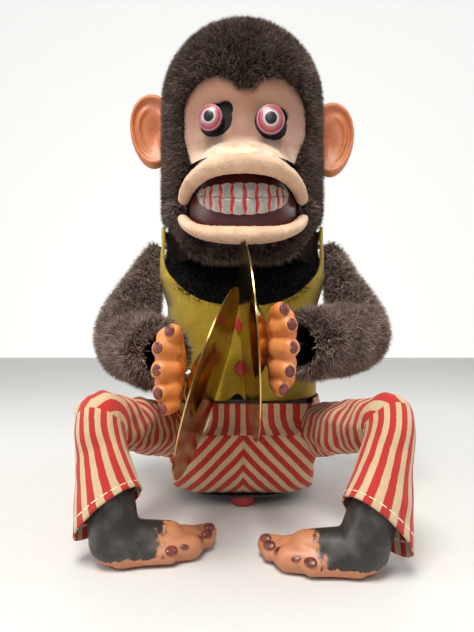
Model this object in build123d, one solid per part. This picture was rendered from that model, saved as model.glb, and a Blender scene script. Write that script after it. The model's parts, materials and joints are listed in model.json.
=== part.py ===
"""Seated cymbal monkey, a clockwork toy: tin body and motor, plush skin, vinyl hands and feet.

Millimetres, +Z up, the face looks along -Y.  The parts are drawn about the upright axis of the
body and moved by BODY_Y on export, so that the origin is the centre of the footprint.
"right" and "left" are the toy's own: its right hand is at -X.
"""
from build123d import *
from math import atan2, cos, degrees, pi, radians, sin
import os

# ---------------------------------------------------------------- driving sizes
BODY_Y = 30.5              # from the centre of the footprint to the axis of the body
TRAY_Z = 5.0               # underside of the base tray, on its rubber feet
TIN = 0.8                  # sheet tin
PLUSH = 1.9                # backing of the plush
FELT = 1.2                 # vest and trouser cloth
GAP = 0.15                 # between layers that lie on each other

# the torso over the vest, as (radius, height), with sloping planes cut off its chest and back
TORSO = [(36, 8), (40, 24), (42, 48), (43, 80), (43, 116), (42, 147)]
CHEST = [(-41, 100), (-9, 147)]           # (y, z) at the foot and the top of each plane
BACK = [(42, 100), (33, 147)]
SHELL_INSET = FELT + PLUSH + 3 * GAP

# the head over the plush: a tapered jaw, an upright cylinder and a half ball
HEAD_R, HEAD_Y = 44.5, -1.0
JAW_R, JAW_Z, CHEEK_Z, CROWN_Z = 39.0, 128.0, 154.0, 218.0
SKULL_INSET = PLUSH + GAP
SKULL_WALL = 1.6

SHOULDER_X, SHOULDER_Z = 28.0, 136.0      # axis of each arm shaft, along Y
SHAFT_R = 1.6
LEVER = 21.0                              # from shaft to slider pin
WIRE_R = 1.4
KEY_Z = 60.0                              # axis of the key arbor
LIP_Y, LIP_Z = -25.0, 146.0               # axis that both lips turn about
EYE_X, EYE_Z = 14.0, 189.0
NECK_Y = 13.0
CYMBAL_R = 41.0
KEY_TIP_Y = 67.0                          # rear end of the key
RUN = 0.05                                # radial clearance of a running fit

SIDES = {"right": -1, "left": 1}
ARMS = {   # elbow, wrist, hand centre and cymbal centre, with x as on the left side; angles in degrees
    "right": {"elbow": (66, -17, 80), "wrist": (36, -70, 75), "hand": (31.5, -84, 71.5),
              "cymbal": (14.4, -84, 64.6), "tilt": 16.6, "yaw": 6.0},
    "left": {"elbow": (66, -17, 83), "wrist": (24, -73, 79.5), "hand": (16, -86, 79),
             "cymbal": (1.3, -87, 82), "tilt": 3.5, "yaw": 3.6},
}
LEGS = {   # hip, knee, cuff, heel and toe, with x as on the left side
    "right": {"hip": (33, -16, 31), "knee": (57, -99, 50), "cuff": (49, -103, 24),
              "heel": (48, -106), "toe": (10, -93)},
    "left": {"hip": (33, -16, 31), "knee": (56, -103, 50), "cuff": (43.5, -111, 22),
             "heel": (41.5, -113), "toe": (4, -104)},
}


# ---------------------------------------------------------------- helpers
def save(name, shape):
    """Writes one named piece, moved from the body axis to the row's origin."""
    shape = Pos(0, BODY_Y, 0) * shape
    shape.label = name
    export_step(shape, f"parts/{name}.step")


def group(shapes):
    """Separate solids that share one node."""
    return Compound(children=[s for shape in shapes for s in shape.solids()])


def torso(inset=0.0, low=8.0, high=147.0):
    """Torso shrunk by inset, between two heights."""
    outline = [(0, TORSO[0][1])] + [(r - inset, z) for r, z in TORSO] + [(0, TORSO[-1][1])]
    solid = revolve(Plane.XZ * make_face(Polyline(*outline, close=True)), Axis.Z)
    for (y0, z0), (y1, z1) in (CHEST, BACK):
        out = -100 if y0 < 0 else 100
        shift = -inset if y0 > 0 else inset
        y2, z2 = y1 + (y1 - y0) / 2, z1 + (z1 - z0) / 2
        solid -= side_prism([(y0 + shift, z0), (y2 + shift, z2), (out, z2), (out, z0)])
    return solid & block(-90, 90, -90, 90, low, high)


def head(inset=0.0, low=JAW_Z):
    """Head shrunk by inset, above a height."""
    crown = HEAD_R - inset
    lines = [Line((0, JAW_Z), (JAW_R - inset, JAW_Z)), Line((JAW_R - inset, JAW_Z), (crown, CHEEK_Z)),
             Line((crown, CHEEK_Z), (crown, CROWN_Z)),
             CenterArc((0, CROWN_Z), crown, 0, 90), Line((0, CROWN_Z + crown), (0, JAW_Z))]
    solid = revolve(Plane.XZ * make_face(lines), Axis.Z)
    solid = Pos(0, HEAD_Y, 0) * solid
    return solid & block(-90, 90, -90, 90, low, 300)


def block(x0, x1, y0, y1, z0, z1):
    return Pos((x0 + x1) / 2, (y0 + y1) / 2, (z0 + z1) / 2) * Box(x1 - x0, y1 - y0, z1 - z0)


def rod(a, b, r, r_end=None):
    """Round bar from a to b, tapered if r_end is given."""
    a, b = Vector(*a), Vector(*b)
    plane = Plane(origin=a, z_dir=(b - a).normalized())
    length = (b - a).length
    if r_end is None or r_end == r:
        return Solid.make_cylinder(r, length, plane)
    return Solid.make_cone(r, r_end, length, plane)


def ball(p, r):
    return Pos(*p) * Sphere(r)


def bent_wire(points, r):
    """Round wire through the points, with a ball at each bend."""
    solid = rod(points[0], points[1], r)
    for i in range(1, len(points) - 1):
        solid = solid + ball(points[i], r) + rod(points[i], points[i + 1], r)
    return solid


def disc_y(x, z, r, y0, y1):
    """Disc about an axis along Y."""
    return rod((x, y0, z), (x, y1, z), r)


def mirror_x(p, side):
    return (SIDES[side] * p[0], *p[1:])


def side_prism(points, x0=-80, x1=80):
    """Prism along X over an outline given as (y, z) points."""
    outline = Plane.YZ * make_face(Polyline(*points, close=True))
    return Pos(x0, 0, 0) * extrude(outline, x1 - x0)


def front_prism(sketch, y0, y1):
    """Prism along Y over a sketch whose axes are x and z."""
    plane = Plane(origin=(0, y1, 0), x_dir=(1, 0, 0), z_dir=(0, -1, 0))
    return extrude(plane * sketch, y1 - y0)


# ---------------------------------------------------------------- base and body shell
RUBBER_FEET = [(0, -40), (-19, 22), (19, 22)]
FOOT_PAD_R = 5.6
FLOOR = (60.0, 80.0, -6.0)     # width, depth and centre y of the floor plate


def base_tray():
    """Pressed floor plate with a round rim that the body shell stands over."""
    width, depth, cy = FLOOR
    floor = Pos(0, cy, TRAY_Z) * extrude(RectangleRounded(width, depth, 24), TIN)
    rim_r = TORSO[0][0] - SHELL_INSET - TIN - GAP
    rim = Cylinder(rim_r, 7, align=(Align.CENTER, Align.CENTER, Align.MIN))
    rim -= Cylinder(rim_r - TIN, 7, align=(Align.CENTER, Align.CENTER, Align.MIN))
    return floor + Pos(0, 0, TRAY_Z) * rim


def rubber_feet():
    pads = []
    for x, y in RUBBER_FEET:
        pad = Pos(x, y, TRAY_Z / 2) * Cylinder(FOOT_PAD_R, TRAY_Z)
        pads.append(fillet(pad.edges().group_by(Axis.Z)[0], 1.2))
    return group(pads)


def arm_slots(r):
    """Holes through the side walls for the two arm wires."""
    return rod((-70, 0, SHOULDER_Z), (70, 0, SHOULDER_Z), r)


def key_hole(r):
    return disc_y(0, KEY_Z, r, 20, 60)


STOP_Z, STOP_TRAVEL = 92.0, 6.0


def stop_slot(margin):
    """Slot for the stop lever's stem, which slides along +X."""
    half = 2.0 + margin
    slot = block(0, STOP_TRAVEL, 20, 60, STOP_Z - half, STOP_Z + half)
    return slot + disc_y(0, STOP_Z, half, 20, 60) + disc_y(STOP_TRAVEL, STOP_Z, half, 20, 60)


def leg_path(side):
    leg = LEGS[side]
    start = (18, -14, 14)
    return [mirror_x(p, side) for p in (start, leg["hip"], leg["knee"], leg["cuff"])]


def leg_holes(r):
    """Bores along both leg wires, from inside the base to the knees."""
    bores = None
    for side in SIDES:
        start, hip, knee, _ = leg_path(side)
        bore = rod(start, hip, r) + ball(hip, r) + rod(hip, knee, r)
        bores = bore if bores is None else bores + bore
    return bores


SHELL_TOP = 145.0


def body_shell():
    shell = torso(SHELL_INSET, 8, SHELL_TOP) - torso(SHELL_INSET + TIN, 0, SHELL_TOP - TIN)
    shell -= Pos(0, NECK_Y, SHELL_TOP) * Cylinder(5.7, 10)
    shell -= arm_slots(6.0)
    shell -= key_hole(3.0)
    shell -= stop_slot(0.4)
    return shell - leg_holes(1.9)


SPLIT_Y = 4.0


def shell_front():
    return body_shell() & block(-80, 80, -80, SPLIT_Y - GAP / 2, 0, 200)


def shell_rear():
    return body_shell() & block(-80, 80, SPLIT_Y + GAP / 2, 80, 0, 200)


PLUSH_LOW, VEST_LOW = 51.5, 50.4


def torso_plush():
    inner = FELT + 2 * GAP
    layer = torso(inner, PLUSH_LOW, 147) - torso(inner + PLUSH, PLUSH_LOW, SHELL_TOP + GAP)
    layer -= Pos(0, NECK_Y, 146) * Cylinder(8, 20)
    return layer - arm_slots(8.0) - key_hole(3.4) - stop_slot(0.8)


SCOOP_Z, SCOOP_HALF, SCOOP_DEEP = 130.0, 40.0, 31.0


def vest():
    """Felt waistcoat with a deep round neck, open over the shoulders for the arms."""
    layer = torso(0, VEST_LOW, 146.4) - torso(FELT + GAP, VEST_LOW, 146.4)
    scoop = front_prism(Pos(0, SCOOP_Z) * Ellipse(SCOOP_HALF, SCOOP_DEEP), -80, 2)
    scoop += block(-SCOOP_HALF, SCOOP_HALF, -80, 2, SCOOP_Z, 160)
    scoop += block(-29, 29, 2, 80, 140, 160)
    return layer - scoop - arm_slots(9.0) - key_hole(3.8) - stop_slot(1.2)


BUTTON_R, BUTTON_HEIGHTS = 4.1, (89.0, 67.5)


def vest_buttons():
    skin = torso(-0.05, VEST_LOW, 120)
    buttons = []
    for z in BUTTON_HEIGHTS:
        stud = disc_y(0, z, BUTTON_R, -45.2, -40)
        stud = fillet(stud.edges().group_by(Axis.Y)[0], 1.0)
        buttons.append(stud - skin)
    return group(buttons)


# ---------------------------------------------------------------- clockwork motor
FRONT_PLATE, REAR_PLATE = 5.5, 27.0
PLATE = 1.0
PILLARS = [(-19.5, 43), (19.5, 43), (-19.5, 108), (19.5, 108)]
BRACKET_T, BRACKET_LOW = 1.2, 104.0
MODULE_1, MODULE_2, MODULE_3 = 0.7, 0.6, 0.5
GREAT_TEETH, PINION_TEETH, SECOND_TEETH, GOVERNOR_TEETH, FLY_TEETH = 60, 12, 48, 36, 12
SECOND_AXIS = (-14.0, 81.0)
CRANK_AXIS = (0.0, 92.3)
GOVERNOR_AXIS = (9.6, 99.5)
CRANK_R, CRANK_PIN_R = 1.65, 0.9
ARBOR_R = 1.2


def gear(x, z, teeth, module, y0, y1, phase, hole=0.0):
    """Spur wheel about an axis along Y, with one tooth centred at phase degrees from +X."""
    pitch_r = teeth * module / 2
    root, tip = pitch_r - 1.15 * module, pitch_r + 0.85 * module
    step = 2 * pi / teeth
    outline = []
    for i in range(teeth):
        mid = radians(phase) + i * step
        for r, half in ((root, 0.30), (pitch_r, 0.20), (tip, 0.09)):
            outline.append((r, mid - half * step))
        for r, half in ((tip, 0.09), (pitch_r, 0.20), (root, 0.30)):
            outline.append((r, mid + half * step))
    points = [(r * cos(a), r * sin(a)) for r, a in outline]
    face = make_face(Polyline(*points, close=True))
    if hole:
        face -= Circle(hole)
    wheel = front_prism(face, y0, y1)
    return Pos(x, 0, z) * wheel


def facing(a, b):
    """Angle in degrees from axis a to axis b, each given as (x, z)."""
    return degrees(atan2(b[1] - a[1], b[0] - a[0]))


def motor_plate(y):
    """Pierced side plate of the motor, on a leg that stands on the tray."""
    outline = Pos(0, 75.5) * RectangleRounded(48, 74, 6)
    leg_top = 41.0
    outline += Pos(0, (TRAY_Z + TIN + leg_top) / 2) * Rectangle(20, leg_top - TRAY_Z - TIN)
    outline -= Pos(0, KEY_Z) * Circle(2.0 + RUN)
    for x, z in (SECOND_AXIS, CRANK_AXIS, GOVERNOR_AXIS):
        outline -= Pos(x, z) * Circle(ARBOR_R + RUN)
    for x, z in PILLARS:
        outline -= Pos(x, z) * Circle(1.5)
    return front_prism(outline, y, y + PLATE)


def motor_plate_front():
    return motor_plate(FRONT_PLATE)


def motor_plate_rear():
    return motor_plate(REAR_PLATE)


def plate_pillars():
    return group([disc_y(x, z, 3.0, FRONT_PLATE + PLATE, REAR_PLATE) for x, z in PILLARS])


def plate_screws():
    """Screws through both plates into the pillars' ends, with cheese heads."""
    screws = []
    for x, z in PILLARS:
        front = FRONT_PLATE - (BRACKET_T if z > BRACKET_LOW else 0)
        screws.append(disc_y(x, z, 1.4, front, FRONT_PLATE + PLATE) + disc_y(x, z, 2.6, front - 1.2, front))
        rear = REAR_PLATE + PLATE
        screws.append(disc_y(x, z, 1.4, REAR_PLATE, rear) + disc_y(x, z, 2.6, rear, rear + 1.2))
    return group(screws)


def mainspring():
    """Flat steel spiral around the key arbor."""
    turns, inner, outer, wall, width = 7, 4.0, 19.0, 0.45, 5.0
    pitch = (outer - inner) / turns

    def spiral(offset):
        return [((inner + offset + pitch * t / 12) * cos(pi * t / 6),
                 (inner + offset + pitch * t / 12) * sin(pi * t / 6))
                for t in range(12 * turns + 1)]

    inside, outside = spiral(0), spiral(wall)
    edges = [Spline(*inside), Spline(*outside), Line(inside[0], outside[0]),
             Line(inside[-1], outside[-1])]
    return Pos(0, 0, KEY_Z) * front_prism(make_face(edges), 21.4, 21.4 + width)


def key_arbor():
    return disc_y(0, KEY_Z, 2.0, FRONT_PLATE - 0.8, KEY_TIP_Y - 17)


def great_wheel():
    phase = facing((0, KEY_Z), SECOND_AXIS)
    return gear(0, KEY_Z, GREAT_TEETH, MODULE_1, 17.4, 18.8, phase, 2.0 + RUN)


def ratchet_wheel():
    """Saw-toothed wheel beside the great wheel."""
    teeth, root, tip = 18, 6.4, 8.0
    points = []
    for i in range(teeth):
        for r, part in ((root, 0.0), (tip, 0.12), (tip - 0.3, 0.2)):
            a = 2 * pi * (i + part) / teeth
            points.append((r * cos(a), r * sin(a)))
    face = make_face(Polyline(*points, close=True)) - Circle(2.0)
    return Pos(0, 0, KEY_Z) * front_prism(face, 19.0, 20.4)


def winding_key():
    """Butterfly key of sheet steel on a round socket."""
    base = KEY_TIP_Y - 17
    socket = disc_y(0, KEY_Z, 3.6, base - 3, KEY_TIP_Y - 11) - disc_y(0, KEY_Z, 2.0, base - 4, base)
    loop = Pos(11.5, 0) * Circle(9) + Pos(-11.5, 0) * Circle(9) + Rectangle(14, 8)
    loop -= Pos(11.8, 0) * Circle(4.8) + Pos(-11.8, 0) * Circle(4.8)
    plane = Plane(origin=(0, KEY_TIP_Y - 9, KEY_Z), x_dir=(0, 0, 1), z_dir=(1, 0, 0))
    return socket + extrude(plane * loop, 0.8, both=True)


def second_arbor():
    x, z = SECOND_AXIS
    phase = facing(SECOND_AXIS, (0, KEY_Z)) + 180 / PINION_TEETH
    shaft = disc_y(x, z, ARBOR_R, FRONT_PLATE - 0.8, REAR_PLATE + PLATE + 0.8)
    return shaft + gear(x, z, PINION_TEETH, MODULE_1, 16.2, 20.0, phase)


def second_wheel():
    phase = facing(SECOND_AXIS, CRANK_AXIS)
    return gear(*SECOND_AXIS, SECOND_TEETH, MODULE_2, 12.8, 14.0, phase, ARBOR_R)


def crank_arbor():
    x, z = CRANK_AXIS
    phase = facing(CRANK_AXIS, SECOND_AXIS) + 180 / PINION_TEETH
    shaft = disc_y(x, z, ARBOR_R, 3.2, REAR_PLATE + PLATE + 0.8)
    return shaft + gear(x, z, PINION_TEETH, MODULE_2, 11.8, 15.0, phase)


def crank_disc():
    x, z = CRANK_AXIS
    disc = disc_y(x, z, 5.5, 3.2, 4.8) - disc_y(x, z, ARBOR_R, 3.0, 5.0)
    return disc + disc_y(x, z + CRANK_R, CRANK_PIN_R, 2.0, 3.2)


def governor_wheel():
    phase = facing(CRANK_AXIS, GOVERNOR_AXIS)
    return gear(*CRANK_AXIS, GOVERNOR_TEETH, MODULE_3, 8.0, 9.0, phase, ARBOR_R)


def governor_fly():
    x, z = GOVERNOR_AXIS
    phase = facing(GOVERNOR_AXIS, CRANK_AXIS) + 180 / FLY_TEETH
    shaft = disc_y(x, z, ARBOR_R, FRONT_PLATE - 0.8, REAR_PLATE + PLATE + 0.8)
    vane = block(x - 7, x + 7, 17, 25.6, z - 0.4, z + 0.4)
    return shaft + gear(x, z, FLY_TEETH, MODULE_3, 7.2, 10.2, phase) + vane


def stop_lever():
    stem = disc_y(0, STOP_Z, 1.6, 37.0, 43.8)
    return stem + block(-9, 3.5, 36.0, 37.0, STOP_Z - 4, STOP_Z + 4) + disc_y(0, STOP_Z, 3.4, 43.8, 46.8)


# ---------------------------------------------------------------- slider and shoulders
SLIDER_Y = (0.0, 1.5)
PIN_R = 1.5
SLIDER_TRAVEL = 4.0


def clap_slider():
    """Plate that the crank would push up and down; its slots carry the lever pins."""
    y0, y1 = SLIDER_Y
    head = block(-12, 12, y0, y1, 130, 141)
    bar = block(-5, 5, y0, y1, 84, 130)
    plate = head + bar
    for x in (-(SHOULDER_X - LEVER), SHOULDER_X - LEVER):
        plate -= block(x - 3.2, x + 3.2, y0 - 1, y1 + 1, SHOULDER_Z - 1.9, SHOULDER_Z + 1.9)
    for z in (102.0, 124.0):
        plate -= block(-1.9, 1.9, y0 - 1, y1 + 1, z - 2.1 - SLIDER_TRAVEL, z + 2.1 + SLIDER_TRAVEL)
    pin_z, half = CRANK_AXIS[1] + CRANK_R, CRANK_PIN_R + 0.1
    yoke = block(-3.2, 3.2, y0 - 1, y1 + 1, pin_z - half, pin_z + half)
    return plate - yoke


def guide_studs():
    """Two headed studs, in the front plate and the shoulder bracket, that the slider runs on."""
    studs = []
    for z, face in ((102.0, FRONT_PLATE), (124.0, FRONT_PLATE - BRACKET_T)):
        studs.append(disc_y(0, z, 1.5, -0.6, face) + disc_y(0, z, 3.2, -1.6, -0.6))
    return group(studs)


def shoulder_bracket():
    """Steel bridge on the motor's front plate, with the long bearings of both arm shafts."""
    y0, y1 = FRONT_PLATE - BRACKET_T, FRONT_PLATE
    web = block(-23, 23, y0, y1, BRACKET_LOW, 131)
    for s in (-1, 1):
        x0, x1 = sorted((s * 16, s * (SHOULDER_X + 2)))
        web += block(x0, x1, y0, y1, 126, 140)
        web += disc_y(s * SHOULDER_X, SHOULDER_Z, 3.6, y0, 20)
        web -= disc_y(s * SHOULDER_X, SHOULDER_Z, SHAFT_R + RUN, 0, 30)
    for x, z in PILLARS:
        if z > BRACKET_LOW:
            web -= disc_y(x, z, 1.5, 0, 10)
    return web


ARM_X = 50.0               # where each wire turns down into the sleeve
SLEEVE_IN = 45.6           # inner face of the sleeve at the shoulder


def arm_points(side):
    arm = ARMS[side]
    points = [(SHOULDER_X, 0, SHOULDER_Z), (ARM_X, 0, SHOULDER_Z),
              arm["elbow"], arm["wrist"], (arm["hand"][0], arm["hand"][1] + 8, arm["hand"][2])]
    return [mirror_x(p, side) for p in points]


def arm_wire(side):
    """Bent steel wire from the shoulder shaft to the hand, with the inner lever and its pin."""
    s = SIDES[side]
    shaft = disc_y(s * SHOULDER_X, SHOULDER_Z, SHAFT_R, -1.5, 22)
    wire = bent_wire(arm_points(side), WIRE_R)
    x0, x1 = sorted((s * SHOULDER_X, s * (SHOULDER_X - LEVER)))
    lever = block(x0, x1, 2.4, 3.6, SHOULDER_Z - 2.2, SHOULDER_Z + 2.2)
    lever += disc_y(x0, SHOULDER_Z, 2.2, 2.4, 3.6) + disc_y(x1, SHOULDER_Z, 2.2, 2.4, 3.6)
    pin = disc_y(s * (SHOULDER_X - LEVER), SHOULDER_Z, PIN_R, -0.8, 2.4)
    return shaft + wire + lever + pin


def sleeve(side):
    """Stuffed plush sleeve over the arm wire: slim at the shoulder, thick from elbow to wrist."""
    arm = ARMS[side]
    shoulder = mirror_x((ARM_X, 1, SHOULDER_Z - 2), side)
    elbow, wrist = mirror_x(arm["elbow"], side), mirror_x(arm["wrist"], side)
    solid = ball(shoulder, 7) + rod(shoulder, elbow, 7, 16) + ball(elbow, 17.5)
    solid = solid + rod(elbow, wrist, 17.5, 16.5)
    # the inner face leans out above the shaft, so that it clears the vest as the arm lifts
    outline = [(0, 108), (SLEEVE_IN, 108), (SLEEVE_IN, SHOULDER_Z), (SLEEVE_IN + 6, 170), (0, 170)]
    outline = [(SIDES[side] * x, z) for x, z in outline]
    solid = solid - front_prism(make_face(Polyline(*outline, close=True)), -50, 50)
    return solid - bent_wire(arm_points(side), WIRE_R)


def hand(side):
    """Vinyl hand: an upright palm that faces the cymbal, with five curled fingers."""
    s = SIDES[side]
    cx, cy, cz = mirror_x(ARMS[side]["hand"], side)
    lean = Pos(cx, cy, cz) * Rot(0, s * -ARMS[side]["tilt"] * 0.5, 0)
    palm = fillet(Box(10, 24, 30).edges(), 4.0)
    for dz, r in ((12.6, 3.5), (6.6, 3.9), (0.0, 4.2), (-6.6, 3.9), (-12.4, 3.5)):
        palm = palm + Pos(s * 1.5, -11, dz) * Sphere(r)
        palm = palm + Pos(s * 1.5, -11, dz) * Rot(-90, 0, 0) * extrude(Circle(r), 6)
    return lean * palm - sleeve_core(side) - cymbal_clip(side)


def sleeve_core(side):
    """The sleeve's end and the wire's last stretch, which the hand is cut back from."""
    wrist = mirror_x(ARMS[side]["wrist"], side)
    elbow = mirror_x(ARMS[side]["elbow"], side)
    return rod(elbow, wrist, 17.5, 16.5) + bent_wire(arm_points(side)[3:], WIRE_R)


def cymbal_frame(side):
    """Location of a cymbal: its own +Z points from the rim plane to the bell and the palm."""
    s = SIDES[side]
    arm = ARMS[side]
    x, y, z = mirror_x(arm["cymbal"], side)
    return Pos(x, y, z) * Rot(0, 0, s * arm["yaw"]) * Rot(0, s * (90 - arm["tilt"]), 0)


BELL_R, BELL_H, CONE_H, CYMBAL_T = 16.5, 5.6, 2.6, 0.5
CLIP_REACH = {"right": 7.5, "left": 6.0}


def cymbal(side):
    """Thin brass-plated tin cymbal with a pressed bell, on its own axis."""
    top = CONE_H + BELL_H
    edges = []
    for lift in (0, CYMBAL_T):
        edges.append(ThreePointArc((2.2, top + lift), (9.5, CONE_H + 0.74 * BELL_H + lift),
                                   (BELL_R, CONE_H + lift)))
        edges.append(Line((BELL_R, CONE_H + lift), (CYMBAL_R, lift)))
    edges.append(Line((CYMBAL_R, 0), (CYMBAL_R, CYMBAL_T)))
    edges.append(Line((2.2, top), (2.2, top + CYMBAL_T)))
    return cymbal_frame(side) * revolve(Plane.XZ * make_face(edges), Axis.Z)


def cymbal_clip(side):
    """Wire clip through the palm and the bell's hole, with a washer on each side of the bell."""
    top = CONE_H + BELL_H
    pin = Pos(0, 0, top - 2.5) * extrude(Circle(1.2), 2.5 + CYMBAL_T + CLIP_REACH[side])
    inner = Pos(0, 0, top - 1.5) * extrude(Circle(3.4), 0.9)
    outer = Pos(0, 0, top + CYMBAL_T + 0.1) * extrude(Circle(3.0), 0.9)
    coil = Pos(0, 0, top + CYMBAL_T + 2.4) * extrude(Circle(2.2), 1.6)
    return cymbal_frame(side) * (pin + inner + outer + coil)


# ---------------------------------------------------------------- trousers, legs and feet
SEAT = [(35.6, 6), (39.4, 10), (43.6, 21), (45, 36), (43.5, 50)]
SEAT_Y = -2.0
LAP_Y, LAP_Z, LAP_R, LAP_X = -38.0, 24.0, 17.0, 26.0


def seat_solid(inset=0.0):
    """Round seat with a roll of cloth across the lap."""
    low = SEAT[0][1] + inset
    high = SEAT[-1][1] + inset
    outline = [(0, low)] + [(r - inset, max(z, low)) for r, z in SEAT[:-1]]
    outline += [(SEAT[-1][0] - inset, high), (0, high)]
    seat = Pos(0, SEAT_Y, 0) * revolve(Plane.XZ * make_face(Polyline(*outline, close=True)), Axis.Z)
    half = LAP_X - inset
    return seat + rod((-half, LAP_Y, LAP_Z), (half, LAP_Y, LAP_Z), LAP_R - inset)


def trousers_seat():
    cloth = seat_solid() - seat_solid(FELT)
    cloth -= Cylinder(TORSO[0][0] - SHELL_INSET - TIN + GAP, 20)
    return cloth - leg_holes(1.9)


def trouser_leg(side):
    """Stuffed cotton trouser leg from the seat to the cuff, bent at the knee."""
    leg = LEGS[side]
    hip, knee, cuff = (mirror_x(leg[k], side) for k in ("hip", "knee", "cuff"))
    solid = rod(hip, knee, 14, 11.5) + ball(knee, 11.5) + rod(knee, cuff, 11.5, 11.8)
    return solid - seat_solid(-0.1) - ankle(side, 0.3) - bent_wire(leg_path(side), WIRE_R)


def leg_wire(side):
    return bent_wire(leg_path(side), WIRE_R)


def ankle(side, grow=0.0):
    leg = LEGS[side]
    cuff = mirror_x(leg["cuff"], side)
    heel = (SIDES[side] * leg["heel"][0], leg["heel"][1], 7)
    lift = Vector(*cuff) - Vector(*heel)
    top = Vector(*cuff) + lift.normalized() * 4
    return rod(heel, tuple(top), 9.6 + grow, 9.2 + grow)


def foot(side):
    """Vinyl foot: a round ankle on a long flat sole that points inwards, with five toes."""
    leg = LEGS[side]
    s = SIDES[side]
    heel = Vector(s * leg["heel"][0], leg["heel"][1])
    toe = Vector(s * leg["toe"][0], leg["toe"][1])
    along = (toe - heel).normalized()
    across = Vector(-along.Y, along.X)
    ball_at = toe - along * 8
    outline = make_hull([*(Pos(heel.X, heel.Y) * Circle(9.2)).edges(),
                         *(Pos(ball_at.X, ball_at.Y) * Circle(10)).edges()])
    sole = extrude(outline, 8)
    sole = fillet(sole.edges().group_by(Axis.Z)[-1], 3.0)
    for i in range(5):
        at = toe - along * (1.5 + 0.9 * (i - 1.5) ** 2 / 2) + across * ((i - 2) * 4.0)
        sole = sole + Pos(at.X, at.Y, 3.4) * Sphere(3.4)
    return sole + ankle(side) - leg_wire(side)


# ---------------------------------------------------------------- head
CHIN_CUT = [(-31, 100), (-31, 133), (-10, 153), (70, 153), (70, 100)]
FACE_HALF, CHEEK_HALF, LOBE_X, LOBE_Z, LOBE_R = 31.8, 25.0, 14.5, 196.5, 17.3
MASK_LOW = 172.6


def face_window(grow=0.0):
    """Outline of the bare face seen from the front: two brow lobes over narrowing cheeks."""
    wide, slim = FACE_HALF + grow, CHEEK_HALF + grow
    half = [(wide, LOBE_Z), (wide, LOBE_Z - 8), (slim, MASK_LOW), (slim, 160)]
    outline = half + [(-x, z) for x, z in reversed(half)]
    sketch = make_face(Polyline(*outline, close=True))
    for x in (-LOBE_X, LOBE_X):
        sketch += Pos(x, LOBE_Z) * Circle(LOBE_R + grow)
    return front_prism(sketch, -90, -12)


def mouth_window(half):
    return block(-half, half, -90, -14, 100, MASK_LOW - 0.4)


def eye_holes(r):
    return disc_y(-EYE_X, EYE_Z, r, -70, -15) + disc_y(EYE_X, EYE_Z, r, -70, -15)


def skull():
    shell = head(SKULL_INSET) - head(SKULL_INSET + SKULL_WALL) - side_prism(CHIN_CUT)
    return shell - mouth_window(38.4) - eye_holes(7.8)


def skull_front():
    return skull() & block(-80, 80, -80, SPLIT_Y - GAP / 2, 0, 300)


def skull_rear():
    return skull() & block(-80, 80, SPLIT_Y + GAP / 2, 80, 0, 300)


CHIN_AXIS_Y, CHIN_HALF_X, CHIN_HALF_Y = -20.0, 41.0, 33.5
CHIN_SIDE = [(-56, 125.6), (-50, 126), (-44, 131.5), (-30, 138), (-24.5, 141), (-21, 150),
             (-12, 150), (-20, 142), (-31, 129), (-38, 120.5), (-56, 119)]


def chin():
    """Band of plush that runs from cheek to cheek under the lower lip."""
    band = Ellipse(CHIN_HALF_X, CHIN_HALF_Y) - Ellipse(CHIN_HALF_X - PLUSH, CHIN_HALF_Y - PLUSH)
    wall = Pos(0, CHIN_AXIS_Y, 110) * extrude(band, 50)
    return (wall & side_prism(CHIN_SIDE)) - head(PLUSH)


def head_plush():
    layer = head() - head(PLUSH) - side_prism(CHIN_CUT)
    return layer - face_window() - mouth_window(38.0) + chin()


BOWL_LOW, BOWL_TOP = 123.0, 167.0
MUZZLE_R, BOWL_R, BOWL_HALF = 41.5, 32.5, 23.3


def about_mouth(r):
    """Ball on the lip axis."""
    return Pos(0, LIP_Y, LIP_Z) * Sphere(r)


def face_mask():
    """Felt face: a plate that follows the head, with a round muzzle over the upper lip."""
    plate = (head(0) - head(PLUSH)) & face_window(-0.3)
    plate &= block(-90, 90, -90, 0, MASK_LOW, 240)
    muzzle = about_mouth(MUZZLE_R) - about_mouth(MUZZLE_R - 1.4) - head(1.0)
    muzzle &= block(-90, 90, -90, LIP_Y, 171.0, 190)
    muzzle -= head(-0.15) - face_window(-0.3)
    return (plate + muzzle) - eye_holes(8.2)


def mouth_bowl():
    """Red inside of the mouth, bulging between the lips; it is round about the lip axis."""
    shell = about_mouth(BOWL_R) - about_mouth(BOWL_R - 1.6)
    return shell & block(-BOWL_HALF, BOWL_HALF, -90, LIP_Y - 9, BOWL_LOW, BOWL_TOP)


TEETH_HALF_W, TEETH_HALF_H, TEETH_Z = 20.0, 8.4, 147.5


def teeth_plate():
    shell = about_mouth(BOWL_R + 1.2) - about_mouth(BOWL_R + 0.1)
    oval = front_prism(Pos(0, TEETH_Z) * Ellipse(TEETH_HALF_W, TEETH_HALF_H), -80, -30)
    return shell & oval


LIP_R, LIP_TIP_R, LIP_REACH, LIP_END = 4.9, 2.4, 40.7, (29.5, -44.0)
LIP_TAPER = 0.16           # share of the roll that narrows at each end
LIP_OPEN = 24.7            # of each lip's middle from straight ahead, mouth open
LEVER_X = {"upper": (34.6, 35.6), "lower": (36.0, 37.0)}


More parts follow.
